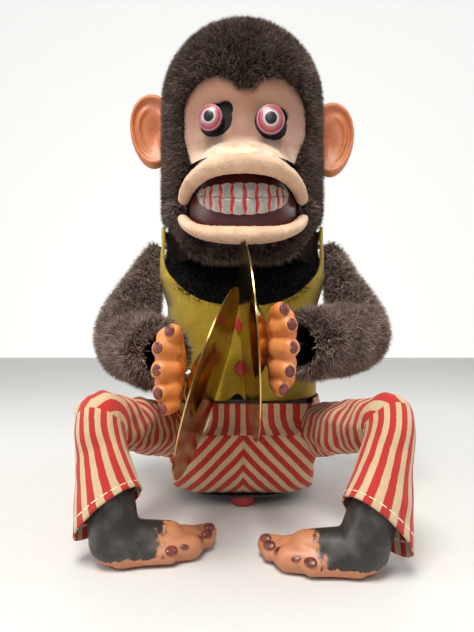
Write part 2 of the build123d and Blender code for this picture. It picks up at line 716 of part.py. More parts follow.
def lip(which):
    """Felt roll bent round the mouth, with two flat levers that turn on the lip pins."""
    sign = 1 if which == "upper" else -1
    mid_y = LIP_Y - LIP_REACH * cos(radians(LIP_OPEN))
    mid_z = LIP_Z + sign * LIP_REACH * sin(radians(LIP_OPEN))
    end_y, end_z = LIP_END[1], LIP_Z + sign * 5.4
    ends = [(-LIP_END[0], end_y, end_z), (LIP_END[0], end_y, end_z)]
    path = ThreePointArc(ends[0], (0, mid_y, mid_z), ends[1])
    middle = path.trim(LIP_TAPER, 1 - LIP_TAPER)
    solid = sweep(Plane(origin=middle @ 0, z_dir=middle % 0) * Circle(LIP_R), middle)
    for end, full in ((ends[0], middle @ 0), (ends[1], middle @ 1)):
        solid = solid + ball(full, LIP_R) + rod(full, end, LIP_R, LIP_TIP_R) + ball(end, LIP_TIP_R)
    for s in (-1, 1):
        x0, x1 = sorted(s * x for x in LEVER_X[which])
        edge = [(LIP_Y, LIP_Z + sign * 2.6), (LIP_Y, LIP_Z - sign * 0.2),
                (end_y, end_z - sign * 1.5), (end_y, end_z + sign * 1.5)]
        arm = side_prism(edge, x0, x1) + rod((x0, LIP_Y, LIP_Z), (x1, LIP_Y, LIP_Z), 2.8)
        arm = arm + rod((s * LIP_END[0], end_y, end_z), (s * LEVER_X[which][1], end_y, end_z), 1.5)
        solid = solid + arm - rod((s * 33, LIP_Y, LIP_Z), (s * 39, LIP_Y, LIP_Z), LIP_PIN_R + RUN)
    return solid


LIP_PIN_R, EYE_ROD_R, POST_R = 1.2, 2.0, 3.0


def lip_pin(s):
    """Pin of one side in a boss that hangs from the head frame."""
    pin = rod((s * 32.0, LIP_Y, LIP_Z), (s * 37.4, LIP_Y, LIP_Z), LIP_PIN_R)
    x0, x1 = sorted((s * 31.4, s * 33.0))
    return pin + block(x0, x1, LIP_Y - 2.5, LIP_Y + 2.5, LIP_Z - 2.5, FRAME_Z)


FRAME_Z = 168.0


def head_frame():
    """Flat bracket on the head post that carries the lip pins, the mouth and the eye guide."""
    plate = block(-33, 33, -28, 20, FRAME_Z, FRAME_Z + 1.5)
    guide = block(-5, 5, -16, -14, FRAME_Z + 1.5, EYE_Z + 5) - disc_y(0, EYE_Z, EYE_ROD_R + RUN, -20, -10)
    tab = block(-4, 4, -49.6, -28, BOWL_TOP, FRAME_Z + 1.5)
    frame = plate + guide + tab + lip_pin(-1) + lip_pin(1)
    return frame - rod((0, NECK_Y, FRAME_Z - 5), (0, NECK_Y, FRAME_Z + 5), POST_R)


def eye(side):
    """Tin eye: a domed disc on a tube, which slides in its hole in the face."""
    s = SIDES[side]
    x = s * EYE_X
    stem = disc_y(x, EYE_Z, 5.6, -50.5, -37.5)
    rim = disc_y(x, EYE_Z, 6.9, -52.0, -50.5)
    dome_r = 14.0
    centre_y = -52.0 + dome_r - 2.0
    dome = Pos(x, centre_y, EYE_Z) * Sphere(dome_r) & disc_y(x, EYE_Z, 6.9, -60, -52.0)
    return stem + rim + dome


def eye_yoke():
    """Cross bar that joins both eyes, on a rod that slides in the head frame."""
    bar = block(-17, 17, -37.5, -36, EYE_Z - 3, EYE_Z + 3)
    return bar + disc_y(0, EYE_Z, EYE_ROD_R, -36, -6)


def head_post():
    return rod((0, NECK_Y, 124), (0, NECK_Y, FRAME_Z + 1.5), POST_R)


def neck_tube():
    tube = rod((0, NECK_Y, 128), (0, NECK_Y, 152), 5.5)
    tube = tube + rod((0, NECK_Y, SHELL_TOP - TIN - 1.6), (0, NECK_Y, SHELL_TOP - TIN), 9.0)
    return tube - rod((0, NECK_Y, 120), (0, NECK_Y, 160), POST_R + RUN)


def head_spring():
    """Light compression spring between the neck tube and the head frame."""
    coil = Helix(pitch=4.7, height=FRAME_Z - 152 - 1.2, radius=4.4)
    wire = sweep(Plane(origin=coil @ 0, z_dir=coil % 0) * Circle(0.45), coil, is_frenet=True)
    return Pos(0, NECK_Y, 152.6) * wire


EAR_Z = {"right": 203.5, "left": 200.0}


def ear(side):
    """Vinyl ear: a cupped oval that stands out sideways and faces forward."""
    s = SIDES[side]
    body = front_prism(Ellipse(13.5, 22.5) + Pos(-s * 9, 0) * Rectangle(12, 24), -3.5, 2.5)
    cup = front_prism(Pos(s * 1.5, 0) * Ellipse(9.5, 18.0), -4, 0.5)
    return Pos(s * 53, 0, EAR_Z[side]) * (body - cup) - head(-0.1)


# ---------------------------------------------------------------- write every piece
def main():
    os.makedirs("parts", exist_ok=True)
    single = [base_tray, rubber_feet, shell_front, shell_rear, torso_plush, vest, vest_buttons,
              plate_pillars, plate_screws, mainspring, key_arbor, great_wheel, ratchet_wheel,
              winding_key, second_arbor, second_wheel, crank_arbor, crank_disc, governor_wheel,
              governor_fly, stop_lever, clap_slider, guide_studs, shoulder_bracket,
              motor_plate_front, motor_plate_rear, trousers_seat, skull_front, skull_rear,
              head_plush, face_mask, mouth_bowl, teeth_plate, head_frame, eye_yoke, head_post,
              neck_tube, head_spring]
    for make in single:
        save(make.__name__, make())
    for which in ("upper", "lower"):
        save(f"{which}_lip", lip(which))
    for side in SIDES:
        for make in (arm_wire, sleeve, hand, cymbal, cymbal_clip, trouser_leg, leg_wire, foot,
                     eye, ear):
            save(f"{make.__name__}_{side}", make(side))


if __name__ == "__main__":
    main()
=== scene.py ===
"""Looks of the seated cymbal monkey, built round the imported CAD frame.

Shapes are worked out in millimetres about the upright axis of the body, as in the CAD source, and
to_row() moves them into the row's metres.  "right" and "left" are the toy's own: right is at -X.
"""
import bpy
import json
import numpy as np
from math import cos, pi, radians, sin
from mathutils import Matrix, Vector


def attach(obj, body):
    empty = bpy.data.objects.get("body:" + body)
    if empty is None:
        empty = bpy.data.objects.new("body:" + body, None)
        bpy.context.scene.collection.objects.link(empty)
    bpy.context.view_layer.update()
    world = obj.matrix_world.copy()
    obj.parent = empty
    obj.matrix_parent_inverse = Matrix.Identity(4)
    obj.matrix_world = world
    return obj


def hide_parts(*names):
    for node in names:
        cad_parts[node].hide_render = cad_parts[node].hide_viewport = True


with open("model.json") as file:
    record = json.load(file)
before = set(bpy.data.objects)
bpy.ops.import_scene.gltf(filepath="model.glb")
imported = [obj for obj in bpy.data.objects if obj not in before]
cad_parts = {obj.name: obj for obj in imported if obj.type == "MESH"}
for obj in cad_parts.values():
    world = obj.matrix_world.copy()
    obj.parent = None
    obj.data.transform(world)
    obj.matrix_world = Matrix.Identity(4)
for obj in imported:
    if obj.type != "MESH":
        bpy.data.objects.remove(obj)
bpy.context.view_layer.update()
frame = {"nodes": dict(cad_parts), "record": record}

BODY_Y = 30.5
MM = 0.001
SIDES = {"right": -1, "left": 1}


def to_row(points):
    """Millimetres about the body axis as metres in the row frame."""
    return (np.asarray(points, float) + (0, BODY_Y, 0)) * MM


# ---------------------------------------------------------------- camera, lights and floor
def link(thing):
    bpy.context.scene.collection.objects.link(thing)
    return thing


def make_camera():
    data = bpy.data.cameras.new("camera")
    data.lens, data.sensor_width, data.clip_start = 28.5, 36.0, 0.01
    camera = link(bpy.data.objects.new("camera", data))
    camera.location = (-0.003, BODY_Y * MM - 0.293, 0.084)
    camera.rotation_euler = (radians(92.18), 0, 0)
    bpy.context.scene.camera = camera


def area_light(name, place, target, size, watts, colour=(1, 1, 1)):
    data = bpy.data.lights.new(name, "AREA")
    data.shape, data.size, data.energy, data.color = "DISK", size, watts, colour
    light = link(bpy.data.objects.new(name, data))
    light.location = place
    light.rotation_euler = (Vector(target) - Vector(place)).to_track_quat("-Z", "Y").to_euler()


def make_stage():
    """Pale floor, a bright wall far behind, and soft lights."""
    bpy.context.scene.view_settings.view_transform = "Standard"
    world = bpy.data.worlds.new("studio")
    world.use_nodes = True
    sky = world.node_tree.nodes["Background"]
    sky.inputs["Color"].default_value = (0.97, 0.98, 1.0, 1)
    sky.inputs["Strength"].default_value = 0.34
    bpy.context.scene.world = world
    area_light("key_light", (-0.12, -0.42, 0.85), (0, -0.03, 0.15), 0.45, 8.6, (1.0, 0.96, 0.9))
    area_light("side_light", (-0.8, -0.2, 0.35), (0, 0, 0.12), 0.5, 2.0)
    area_light("far_light", (0.8, 0.1, 0.5), (0, 0, 0.15), 0.5, 2.2)
    area_light("spark_light", (0.03, -0.6, 0.42), (0, -0.02, 0.2), 0.03, 0.35)
    wide, back = 3.0, 1.6
    mesh = bpy.data.meshes.new("floor")
    mesh.from_pydata([(-wide, -wide, 0), (wide, -wide, 0), (wide, back, 0), (-wide, back, 0),
                      (wide, back, 3.0), (-wide, back, 3.0)], [], [(0, 1, 2, 3), (3, 2, 4, 5)])
    mesh.materials.append(mottled("floor_pale", (0.66, 0.66, 0.65), (0.70, 0.70, 0.69), 0.6, 3, 200, 0.02))
    mesh.materials.append(plain("wall_bright", (0.7, 0.7, 0.69), 0.9, Emission_Color=(1.0, 1.0, 0.98),
                                Emission_Strength=0.62))
    mesh.polygons[1].material_index = 1
    link(bpy.data.objects.new("floor", mesh))


# ---------------------------------------------------------------- material nodes
def put(tree, socket, value):
    """Links a socket, or sets its number or colour."""
    if isinstance(value, bpy.types.NodeSocket):
        tree.links.new(value, socket)
    elif isinstance(value, (tuple, list)):
        socket.default_value = (*value, 1) if len(socket.default_value) == 4 else value
    else:
        socket.default_value = value


def node(tree, kind, output=0, settings=None, **inputs):
    """Output of a new node, its sockets given by name."""
    made = tree.nodes.new(kind)
    for key, value in (settings or {}).items():
        setattr(made, key, value)
    for name, value in inputs.items():
        put(tree, made.inputs[name.replace("_", " ")], value)
    return made.outputs[output]


def maths(tree, operation, *values):
    made = tree.nodes.new("ShaderNodeMath")
    made.operation = operation
    for socket, value in zip(made.inputs, values):
        put(tree, socket, value)
    return made.outputs[0]


def noise(tree, scale, detail=4.0, stretch=(1, 1, 1)):
    place = node(tree, "ShaderNodeTexCoord", "Object")
    place = node(tree, "ShaderNodeMapping", Vector=place, Scale=stretch)
    return node(tree, "ShaderNodeTexNoise", 0, None, Vector=place, Scale=scale, Detail=detail)


def ramp(tree, value, low, high):
    """0 below low, 1 above high, smooth between."""
    made = tree.nodes.new("ShaderNodeMapRange")
    made.interpolation_type = "SMOOTHSTEP"
    put(tree, made.inputs["Value"], value)
    made.inputs["From Min"].default_value, made.inputs["From Max"].default_value = low, high
    return made.outputs["Result"]


def mix(tree, factor, a, b):
    return node(tree, "ShaderNodeMixRGB", 0, None, Fac=factor, Color1=a, Color2=b)


def start(name, rough, **sockets):
    """A node material and its tree and shader."""
    material = bpy.data.materials.new(name)
    material.use_nodes = True
    tree = material.node_tree
    shader = tree.nodes["Principled BSDF"]
    shader.inputs["Roughness"].default_value = rough
    for key, value in sockets.items():
        put(tree, shader.inputs[key.replace("_", " ")], value)
    return material, tree, shader


def bump(tree, shader, height, strength, distance):
    put(tree, shader.inputs["Normal"],
        node(tree, "ShaderNodeBump", 0, None, Height=height, Strength=strength, Distance=distance))


def mottled(name, dark, light, rough, patch, grain, rise, distance=0.0004, **sockets):
    """Two tones in soft patches, with a fine grain in relief."""
    material, tree, shader = start(name, rough, **sockets)
    fine = noise(tree, grain, 3)
    tone = maths(tree, "ADD", maths(tree, "MULTIPLY", noise(tree, patch, 5), 0.7),
                 maths(tree, "MULTIPLY", fine, 0.3))
    put(tree, shader.inputs["Base Color"], mix(tree, ramp(tree, tone, 0.36, 0.64), dark, light))
    bump(tree, shader, fine, rise, distance)
    return material


def plain(name, colour, rough, **sockets):
    return start(name, rough, Base_Color=colour, **sockets)[0]


def felt(name, dark, light, shade_bands=(), marks=()):
    """Napped felt.  The height bands are (height, colour) pairs of painted shade that the tone passes through
    on its way up, darkening the felt towards the top; marks are (x, z, radius, colour) spots of faint paint,
    in millimetres."""
    material, tree, shader = start(name, 0.95, Sheen_Weight=0.2, Specular_IOR_Level=0.2)
    fine = noise(tree, 1400, 4)
    tone = maths(tree, "ADD", maths(tree, "MULTIPLY", noise(tree, 160, 5), 0.55),
                 maths(tree, "MULTIPLY", fine, 0.45))
    place = node(tree, "ShaderNodeTexCoord", "Object")
    split = tree.nodes.new("ShaderNodeSeparateXYZ")
    put(tree, split.inputs[0], place)
    colour = light
    # painted shade: the tone darkens through the height bands towards the top
    for (low, _), (high, paint) in zip(shade_bands, shade_bands[1:]):
        colour = mix(tree, ramp(tree, split.outputs[2], low * MM, high * MM), colour, paint)
    colour = mix(tree, maths(tree, "MULTIPLY", ramp(tree, tone, 0.68, 0.32), 0.55), colour, dark)
    for x, z, radius, paint in marks:
        dx = maths(tree, "SUBTRACT", split.outputs[0], x * MM)
        dz = maths(tree, "MULTIPLY", maths(tree, "SUBTRACT", split.outputs[2], z * MM), 1.5)
        away = maths(tree, "SQRT", maths(tree, "ADD", maths(tree, "MULTIPLY", dx, dx),
                                         maths(tree, "MULTIPLY", dz, dz)))
        inside = ramp(tree, away, radius * MM, radius * MM * 0.3)
        colour = mix(tree, maths(tree, "MULTIPLY", inside, 0.6), colour, paint)
    put(tree, shader.inputs["Base Color"], colour)
    bump(tree, shader, fine, 0.55, 0.0005)
    return material


STRIPE = 5.3


def striped_cotton():
    """Woven cotton with red stripes; pattern UV is (across the stripes, above the hem), in mm."""
    material, tree, shader = start("striped_cotton", 0.9, Sheen_Weight=0.15, Specular_IOR_Level=0.2)
    split = tree.nodes.new("ShaderNodeSeparateXYZ")
    put(tree, split.inputs[0], node(tree, "ShaderNodeUVMap", 0, {"uv_map": "pattern"}))
    across, height = split.outputs[0], split.outputs[1]
    waver = maths(tree, "MULTIPLY", maths(tree, "SUBTRACT", noise(tree, 300, 4), 0.5), 0.5)
    phase = maths(tree, "FRACT", maths(tree, "DIVIDE", maths(tree, "ADD", across, waver), STRIPE))
    away = maths(tree, "ABSOLUTE", maths(tree, "SUBTRACT", phase, 0.5))
    red = ramp(tree, away, 0.275, 0.245)
    worn = noise(tree, 90, 5)
    cream = mix(tree, worn, (0.50, 0.36, 0.20), (0.70, 0.54, 0.34))
    crimson = mix(tree, worn, (0.40, 0.022, 0.022), (0.56, 0.045, 0.04))
    colour = mix(tree, red, cream, crimson)
    dash = maths(tree, "LESS_THAN", maths(tree, "FRACT", maths(tree, "DIVIDE", across, 3.1)), 0.72)
    line = ramp(tree, maths(tree, "ABSOLUTE", maths(tree, "SUBTRACT", height, 3.6)), 0.32, 0.18)
    colour = mix(tree, maths(tree, "MULTIPLY", dash, line), colour, (0.8, 0.72, 0.6))
    put(tree, shader.inputs["Base Color"], colour)
    warp = maths(tree, "SINE", maths(tree, "MULTIPLY", across, 2 * pi / 0.62))
    weft = maths(tree, "SINE", maths(tree, "MULTIPLY", height, 2 * pi / 0.62))
    weave = maths(tree, "ADD", maths(tree, "MULTIPLY", warp, weft), noise(tree, 1500, 3))
    bump(tree, shader, weave, 0.25, 0.00025)
    return material


def eye_paint():
    """Printed rings; pattern UV is (distance from the middle in mm, 0)."""
    material, tree, shader = start("eye_paint", 0.4, Coat_Weight=0.25, Coat_Roughness=0.05)
    split = tree.nodes.new("ShaderNodeSeparateXYZ")
    put(tree, split.inputs[0], node(tree, "ShaderNodeUVMap", 0, {"uv_map": "pattern"}))
    rough_edge = maths(tree, "MULTIPLY", maths(tree, "SUBTRACT", noise(tree, 900, 3), 0.5), 0.16)
    radius = maths(tree, "ADD", split.outputs[0], rough_edge)
    colour = mix(tree, ramp(tree, radius, 2.75, 2.95), (0.002, 0.002, 0.003), (0.50, 0.45, 0.44))
    colour = mix(tree, ramp(tree, radius, 3.4, 4.1), colour, (0.40, 0.13, 0.14))
    colour = mix(tree, ramp(tree, radius, 4.0, 5.8), colour, (0.30, 0.026, 0.06))
    colour = mix(tree, ramp(tree, radius, 6.2, 6.3), colour, (0.50, 0.33, 0.34))
    colour = mix(tree, ramp(tree, radius, 6.48, 6.56), colour, (0.22, 0.02, 0.05))
    put(tree, shader.inputs["Base Color"], colour)
    return material


def foot_paint():
    """Black paint over flesh vinyl; pattern UV is (mm back from the bare toes, height in mm)."""
    material, tree, shader = start("foot_paint", 0.5)
    split = tree.nodes.new("ShaderNodeSeparateXYZ")
    put(tree, split.inputs[0], node(tree, "ShaderNodeUVMap", 0, {"uv_map": "pattern"}))
    brush = maths(tree, "SUBTRACT", noise(tree, 420, 5, (1, 1, 0.35)), 0.5)
    back = maths(tree, "ADD", split.outputs[0], maths(tree, "MULTIPLY", brush, 14.0))
    height = maths(tree, "ADD", split.outputs[1], maths(tree, "MULTIPLY", brush, 5.0))
    bare = maths(tree, "MAXIMUM", ramp(tree, back, 20.0, 17.0), ramp(tree, height, 4.3, 3.9))
    flesh = mix(tree, noise(tree, 130, 4), (0.42, 0.145, 0.062), (0.62, 0.27, 0.14))
    worn = ramp(tree, noise(tree, 110, 6), 0.42, 0.70)
    black = mix(tree, worn, (0.022, 0.020, 0.018), (0.075, 0.068, 0.06))
    put(tree, shader.inputs["Base Color"], mix(tree, bare, black, flesh))
    rough = maths(tree, "ADD", maths(tree, "MULTIPLY", noise(tree, 90, 4), 0.35), 0.25)
    put(tree, shader.inputs["Roughness"], rough)
    bump(tree, shader, noise(tree, 500, 4), 0.12, 0.0005)
    return material


def worn_metal(name, dark, light, rough, patch=60.0):
    """Metal with tarnish in patches and fine turning marks."""
    material, tree, shader = start(name, rough, Metallic=1.0)
    tone = ramp(tree, noise(tree, patch, 8), 0.38, 0.66)
    put(tree, shader.inputs["Base Color"], mix(tree, tone, light, dark))
    put(tree, shader.inputs["Roughness"],
        maths(tree, "ADD", maths(tree, "MULTIPLY", noise(tree, patch * 3, 6), rough), rough * 0.5))
    bump(tree, shader, noise(tree, 2600, 3), 0.06, 0.0002)
    return material


# ---------------------------------------------------------------- meshes
def mesh_piece(name, points, faces, materials, index=None, pattern=None, body=None):
    """A smooth object from millimetre points and arrays of faces; pattern is one UV per point."""
    counts = np.concatenate([np.full(len(f), f.shape[1]) for f in faces])
    loops = np.concatenate([f.ravel() for f in faces]).astype(np.int32)
    mesh = bpy.data.meshes.new(name)
    mesh.vertices.add(len(points))
    mesh.vertices.foreach_set("co", to_row(points).astype(np.float32).ravel())
    mesh.loops.add(len(loops))
    mesh.loops.foreach_set("vertex_index", loops)
    mesh.polygons.add(len(counts))
    mesh.polygons.foreach_set("loop_start", np.concatenate([[0], np.cumsum(counts)[:-1]]).astype(np.int32))
    for material in materials:
        mesh.materials.append(material)
    if index is not None:
        mesh.polygons.foreach_set("material_index", np.asarray(index, np.int32))
    mesh.update(calc_edges=True)
    if pattern is not None:
        flat = pattern if len(pattern) == len(loops) else pattern[loops]
        mesh.uv_layers.new(name="pattern").data.foreach_set("uv", flat.astype(np.float32).ravel())
    mesh.polygons.foreach_set("use_smooth", np.ones(len(counts), bool))
    mesh.validate()
    piece = link(bpy.data.objects.new(name, mesh))
    if body:
        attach(piece, body)
    return piece


def grid_faces(rows, columns, wrap=False):
    i, j = np.meshgrid(np.arange(rows - 1), np.arange(columns if wrap else columns - 1), indexing="ij")
    a, b = i * columns + j, i * columns + (j + 1) % columns
    return np.stack([a, b, b + columns, a + columns], axis=-1).reshape(-1, 4)


def trimmed(surface, us, vs, keep, wrap=False):
    """Grid over surface(u, v) where keep(u, v) > 0; its edge is fitted to keep = 0. All in mm."""
    u, v = (g.ravel().astype(float) for g in np.meshgrid(us, vs))
    faces = grid_faces(len(vs), len(us), wrap)
    good = keep(u, v)[faces].mean(axis=1) > 0
    edge = np.zeros(len(u), bool)
    edge[faces[~good].ravel()] = True
    used = np.zeros(len(u), bool)
    used[faces[good].ravel()] = True
    edge &= used
    reach = 0.8 * max(us[1] - us[0], vs[1] - vs[0])
    eu, ev, h = u[edge], v[edge], 1e-3
    for _ in range(4):
        f = keep(eu, ev)
        du, dv = (keep(eu + h, ev) - f) / h, (keep(eu, ev + h) - f) / h
        steep = np.maximum(du * du + dv * dv, 0.05)
        eu, ev = eu - f * du / steep, ev - f * dv / steep
    u[edge] = np.clip(eu, u[edge] - reach, u[edge] + reach)
    v[edge] = np.clip(ev, v[edge] - reach, v[edge] + reach)
    number = np.cumsum(used) - 1
    u, v = u[used], v[used]
    return surface(u, v), number[faces[good]], u, v


def point_normals(points, faces):
    a, b, c, d = (points[faces[:, k]] for k in range(4))
    flat = np.cross(c - a, d - b)
    normals = np.zeros_like(points)
    for k in range(4):
        np.add.at(normals, faces[:, k], flat)
    return normals / np.maximum(np.linalg.norm(normals, axis=1), 1e-9)[:, None]


def unit(vectors):
    return vectors / np.maximum(np.linalg.norm(vectors, axis=-1), 1e-9)[..., None]


def ripple(points, size, seed):
    """Smooth made-up relief from -1 to 1, the same each time."""
    random = np.random.default_rng(seed)
    total = np.zeros(len(points))
    for _ in range(9):
        way = unit(random.normal(size=3))
        wave = 2 * pi / (size * random.uniform(0.6, 1.7))
        total += np.sin(points @ way * wave + random.uniform(0, 2 * pi))
    return total / 4.5


def ellipsoid(centre, axes, around=20, along=12):
    """Points and faces of an ellipsoid on three axis vectors, poles on the last."""
    angle = np.linspace(0, 2 * pi, around, endpoint=False)
    tilt = np.linspace(-pi / 2 * 0.98, pi / 2 * 0.98, along)
    a, t = (g.ravel() for g in np.meshgrid(angle, tilt))
    ball = np.stack([np.cos(a) * np.cos(t), np.sin(a) * np.cos(t), np.sin(t)], axis=1)
    return np.asarray(centre) + ball @ np.asarray(axes, float), grid_faces(along, around, True)


def joined(parts):
    """Points, faces and part numbers of several (points, faces)."""
    points, faces, index, first = [], [], [], 0
    for k, (p, f) in enumerate(parts):
        points.append(p)
        faces.append(f + first)
        index.append(np.full(len(f), k))
        first += len(p)
    return np.concatenate(points), np.concatenate(faces), np.concatenate(index)


def chain(a, b, ra, rb, step=1.5):
    """Balls along a line, as (centre, radii) pairs."""
    a, b = np.asarray(a, float), np.asarray(b, float)
    count = max(2, int(np.linalg.norm(b - a) / step) + 1)
    return [(a + (b - a) * t, (ra + (rb - ra) * t,) * 3) for t in np.linspace(0, 1, count)]


def skin_round(name, balls, voxel, rounds):
    """Points and quads of one smooth skin round overlapping balls, from a voxel remesh."""
    parts = [ellipsoid(c, np.diag(r), 24, 16) for c, r in balls]
    caps = []
    for p, f in parts:
        top, low = np.arange(24) + 24 * 15, np.arange(24)[::-1]
        caps.append((p, [tuple(q) for q in f] + [tuple(top), tuple(low)]))
    points, faces = [], []
    for p, f in caps:
        faces += [tuple(i + len(points) for i in q) for q in f]
        points += [tuple(q) for q in p * MM]
    mesh = bpy.data.meshes.new(name + "_rough")
    mesh.from_pydata(points, [], faces)
    rough = link(bpy.data.objects.new(name + "_rough", mesh))
    remesh = rough.modifiers.new("skin", "REMESH")
    remesh.mode, remesh.voxel_size = "VOXEL", voxel * MM
    smooth = rough.modifiers.new("smooth", "SMOOTH")
    smooth.factor, smooth.iterations = 0.5, rounds
    shown = rough.evaluated_get(bpy.context.evaluated_depsgraph_get())
    final = bpy.data.meshes.new_from_object(shown)
    points = np.zeros(len(final.vertices) * 3)
    final.vertices.foreach_get("co", points)
    faces = np.array([tuple(p.vertices) if len(p.vertices) == 4 else (*p.vertices, p.vertices[-1])
                      for p in final.polygons])
    bpy.data.objects.remove(rough)
    bpy.data.meshes.remove(final)
    return points.reshape(-1, 3) / MM, faces


# ---------------------------------------------------------------- fur
def tone_set(name, tones, rough=0.62):
    return [plain(f"{name}_{k}", tone, rough, Specular_IOR_Level=0.25) for k, tone in enumerate(tones)]


def fur(name, skin, lay, count, length, width, tones, seed, body, stand=0.75, loose=0.45, weight=None):
    """Tapered blades on a skin. lay(points, normals) is the way the pile is brushed.

    tones is (materials for the roots, materials for the tips); weight thins the pile.
    """
    points, faces = skin
    random = np.random.default_rng(seed)
    normals = point_normals(points, faces)
    a, b, c, d = (points[faces[:, k]] for k in range(4))
    size = np.linalg.norm(np.cross(c - a, d - b), axis=1)
    if weight is not None:
        size = size * weight((a + b + c + d) / 4)
    pick = random.choice(len(faces), count, p=size / size.sum())
    s, t = random.random((2, count, 1))
    corner = faces[pick]

    def at(values):
        v = values[corner]
        return (v[:, 0] * (1 - s) + v[:, 1] * s) * (1 - t) + (v[:, 3] * (1 - s) + v[:, 2] * s) * t

    root, out = at(points), unit(at(normals))
    clump = np.stack([ripple(root, 7.0, seed + k) for k in range(3)], axis=1)
    brush = lay(root, out) + clump * 0.22
    stray = random.normal(size=(count, 3)) * loose
    long = length * random.uniform(0.65, 1.15, (count, 1))
    first = unit(out * (stand + 0.35) + brush * 0.6 + stray * 0.7)
    second = unit(out * stand + brush * 1.1 + stray)
    middle = root + first * long * 0.5
    tip = middle + second * long * 0.55
    side = unit(np.cross(first, out + random.normal(size=(count, 3)) * 0.8))
    half = width / 2 * random.uniform(0.7, 1.2, (count, 1))
    root = root - out * 0.3
    blades = np.stack([root - side * half, root + side * half, middle + side * half * 0.8,
                       middle - side * half * 0.8, tip], axis=1).reshape(-1, 3)
    base = np.arange(count)[:, None] * 5
    quads, tips = base + np.array([[0, 1, 2, 3]]), base + np.array([[3, 2, 4]])
    roots, ends = tones
    shade = np.clip(random.normal(size=count) * 0.23 + 0.45 + ripple(root, 16.0, seed + 9) * 0.16, 0, 0.999)
    index = np.concatenate([(shade * len(roots)).astype(int), len(roots) + (shade * len(ends)).astype(int)])
    return mesh_piece(name, blades, [quads, tips], roots + ends, index, body=body)


# ---------------------------------------------------------------- head
HEAD_Y, SKIN_R, CROWN_Z = -1.0, 43.4, 218.0
LIP_Y, LIP_Z = -25.0, 146.0
EYES = {"right": (-16.4, 191.0), "left": (13.4, 189.4)}
HOLES = {"right": (-14.0, 193.0), "left": (14.6, 191.4)}
FACE_HALF, CHEEK_HALF, LOBE_X, LOBE_Z, LOBE_R, MASK_LOW = 31.8, 26.5, 17.0, 200.8, 14.8, 163.6


def head_surface(u, v):
    """Plush backing of the head; u is the way round, v the way up."""
    turn = u / SKIN_R
    over = np.clip((v - CROWN_Z) / SKIN_R, 0, pi / 2)
    low = np.minimum(v, CROWN_Z)
    r = np.interp(low, [128, 136, 146, 156], [38.6, 41.0, 42.8, SKIN_R]) * np.cos(over)
    z = low + SKIN_R * np.sin(over)
    return np.stack([r * np.sin(turn), HEAD_Y - r * np.cos(turn), z], axis=1)


def face_outline(x, z):
    """About how far inside the bare face's outline a point is."""
    x = x - 1.3 * np.clip((z - 176) / 14, 0, 1)
    half = np.interp(z, [160, 172.6, 188.5], [CHEEK_HALF, CHEEK_HALF, FACE_HALF])
    cheeks = np.minimum(half - np.abs(x), LOBE_Z - z)
    lobes = LOBE_R - np.hypot(np.abs(x) - LOBE_X, z - LOBE_Z)
    peak = 9.0 - np.hypot(x, z - LOBE_Z + 2.0)
    return np.maximum(np.maximum(cheeks, lobes), peak)


MOUTH_HALF = 38.0


def mouth_hole(x, z):
    """How far inside the opening for the mouth and the lips' levers a point is."""
    oval = ((np.abs(x) / 31.5) ** 2.6 + (np.abs(z - 147.5) / 24.0) ** 2.6 + 1e-9) ** (1 / 2.6)
    slots = np.minimum(MOUTH_HALF - np.abs(x), 10.0 - np.abs(z - LIP_Z))
    return np.maximum(26 * (1 - oval), slots)


def head_keep(u, v):
    x, y, z = head_surface(u, v).T
    window = np.where(y < -14, -np.maximum(face_outline(x, z) - 0.4, mouth_hole(x, z)), 30.0)
    chin = z - np.interp(y, [-31, -10], [132, 150.5])
    return np.minimum(window, chin)


def head_lay(points, normals):
    """Down the sides, and outwards round the face and the mouth."""
    x, y, z = points.T
    down = np.stack([x * 0.003, np.zeros(len(x)), -0.32 * np.ones(len(x))], axis=1)
    near = np.exp(-np.clip(-np.where(y < -10, face_outline(x, z), -40), 0, 60) / 2.5)[:, None]
    inward = unit(np.stack([-x, np.full(len(x), -26.0), 0.25 * (192 - z)], axis=1))
    mouth = np.exp(-np.clip(-np.where(y < -10, mouth_hole(x, z), -40), 0, 60) / 3.0)[:, None]
    ahead = unit(np.stack([-0.5 * x, np.full(len(x), -40.0), 0 * z], axis=1))
    hang = np.exp(-np.clip(z - np.interp(y, [-31, -10], [132, 150.5]), 0, 60) / 4.0)[:, None]
    return down + inward * near * 0.5 + ahead * mouth * 0.9 + np.array([0, 0, -0.7]) * hang


CHIN_Y = [-54, -50, -44, -38, -31, -24.5, -20, -12]
CHIN_LOW = [122.6, 122.8, 124.2, 127.5, 135, 141, 144.5, 150]
CHIN_TOP = [128, 128.5, 131.5, 150, 152.5, 153, 154, 155]


def make_chin():
    """Points and faces of the plush band under the lower lip."""
    turn = np.linspace(-1.62, 1.62, 120)
    x, y = 40.0 * np.sin(turn), -20.0 - 33.0 * np.cos(turn)
    low, top = np.interp(y, CHIN_Y, CHIN_LOW), np.interp(y, CHIN_Y, CHIN_TOP)
    inward = unit(np.stack([-x, -20 - y], axis=1))
    rows = []
    for inset, share, drop in ((7, 0, 0.6), (3.5, 0, -0.9), (1.0, 0, -0.3), (0.2, 0.12, 0), (0, 0.4, 0),
                               (0, 0.75, 0), (0.6, 1, 0), (4, 1, 0.8)):
        rows.append(np.stack([x + inward[:, 0] * inset, y + inward[:, 1] * inset,
                              low + (top - low) * share + drop], axis=1))
    band = np.concatenate(rows)
    band[:, 0] *= np.interp(band[:, 2], [122, 128, 135, 144, 150], [0.74, 0.79, 0.83, 0.93, 1.0])
    return band, grid_faces(len(rows), 120)


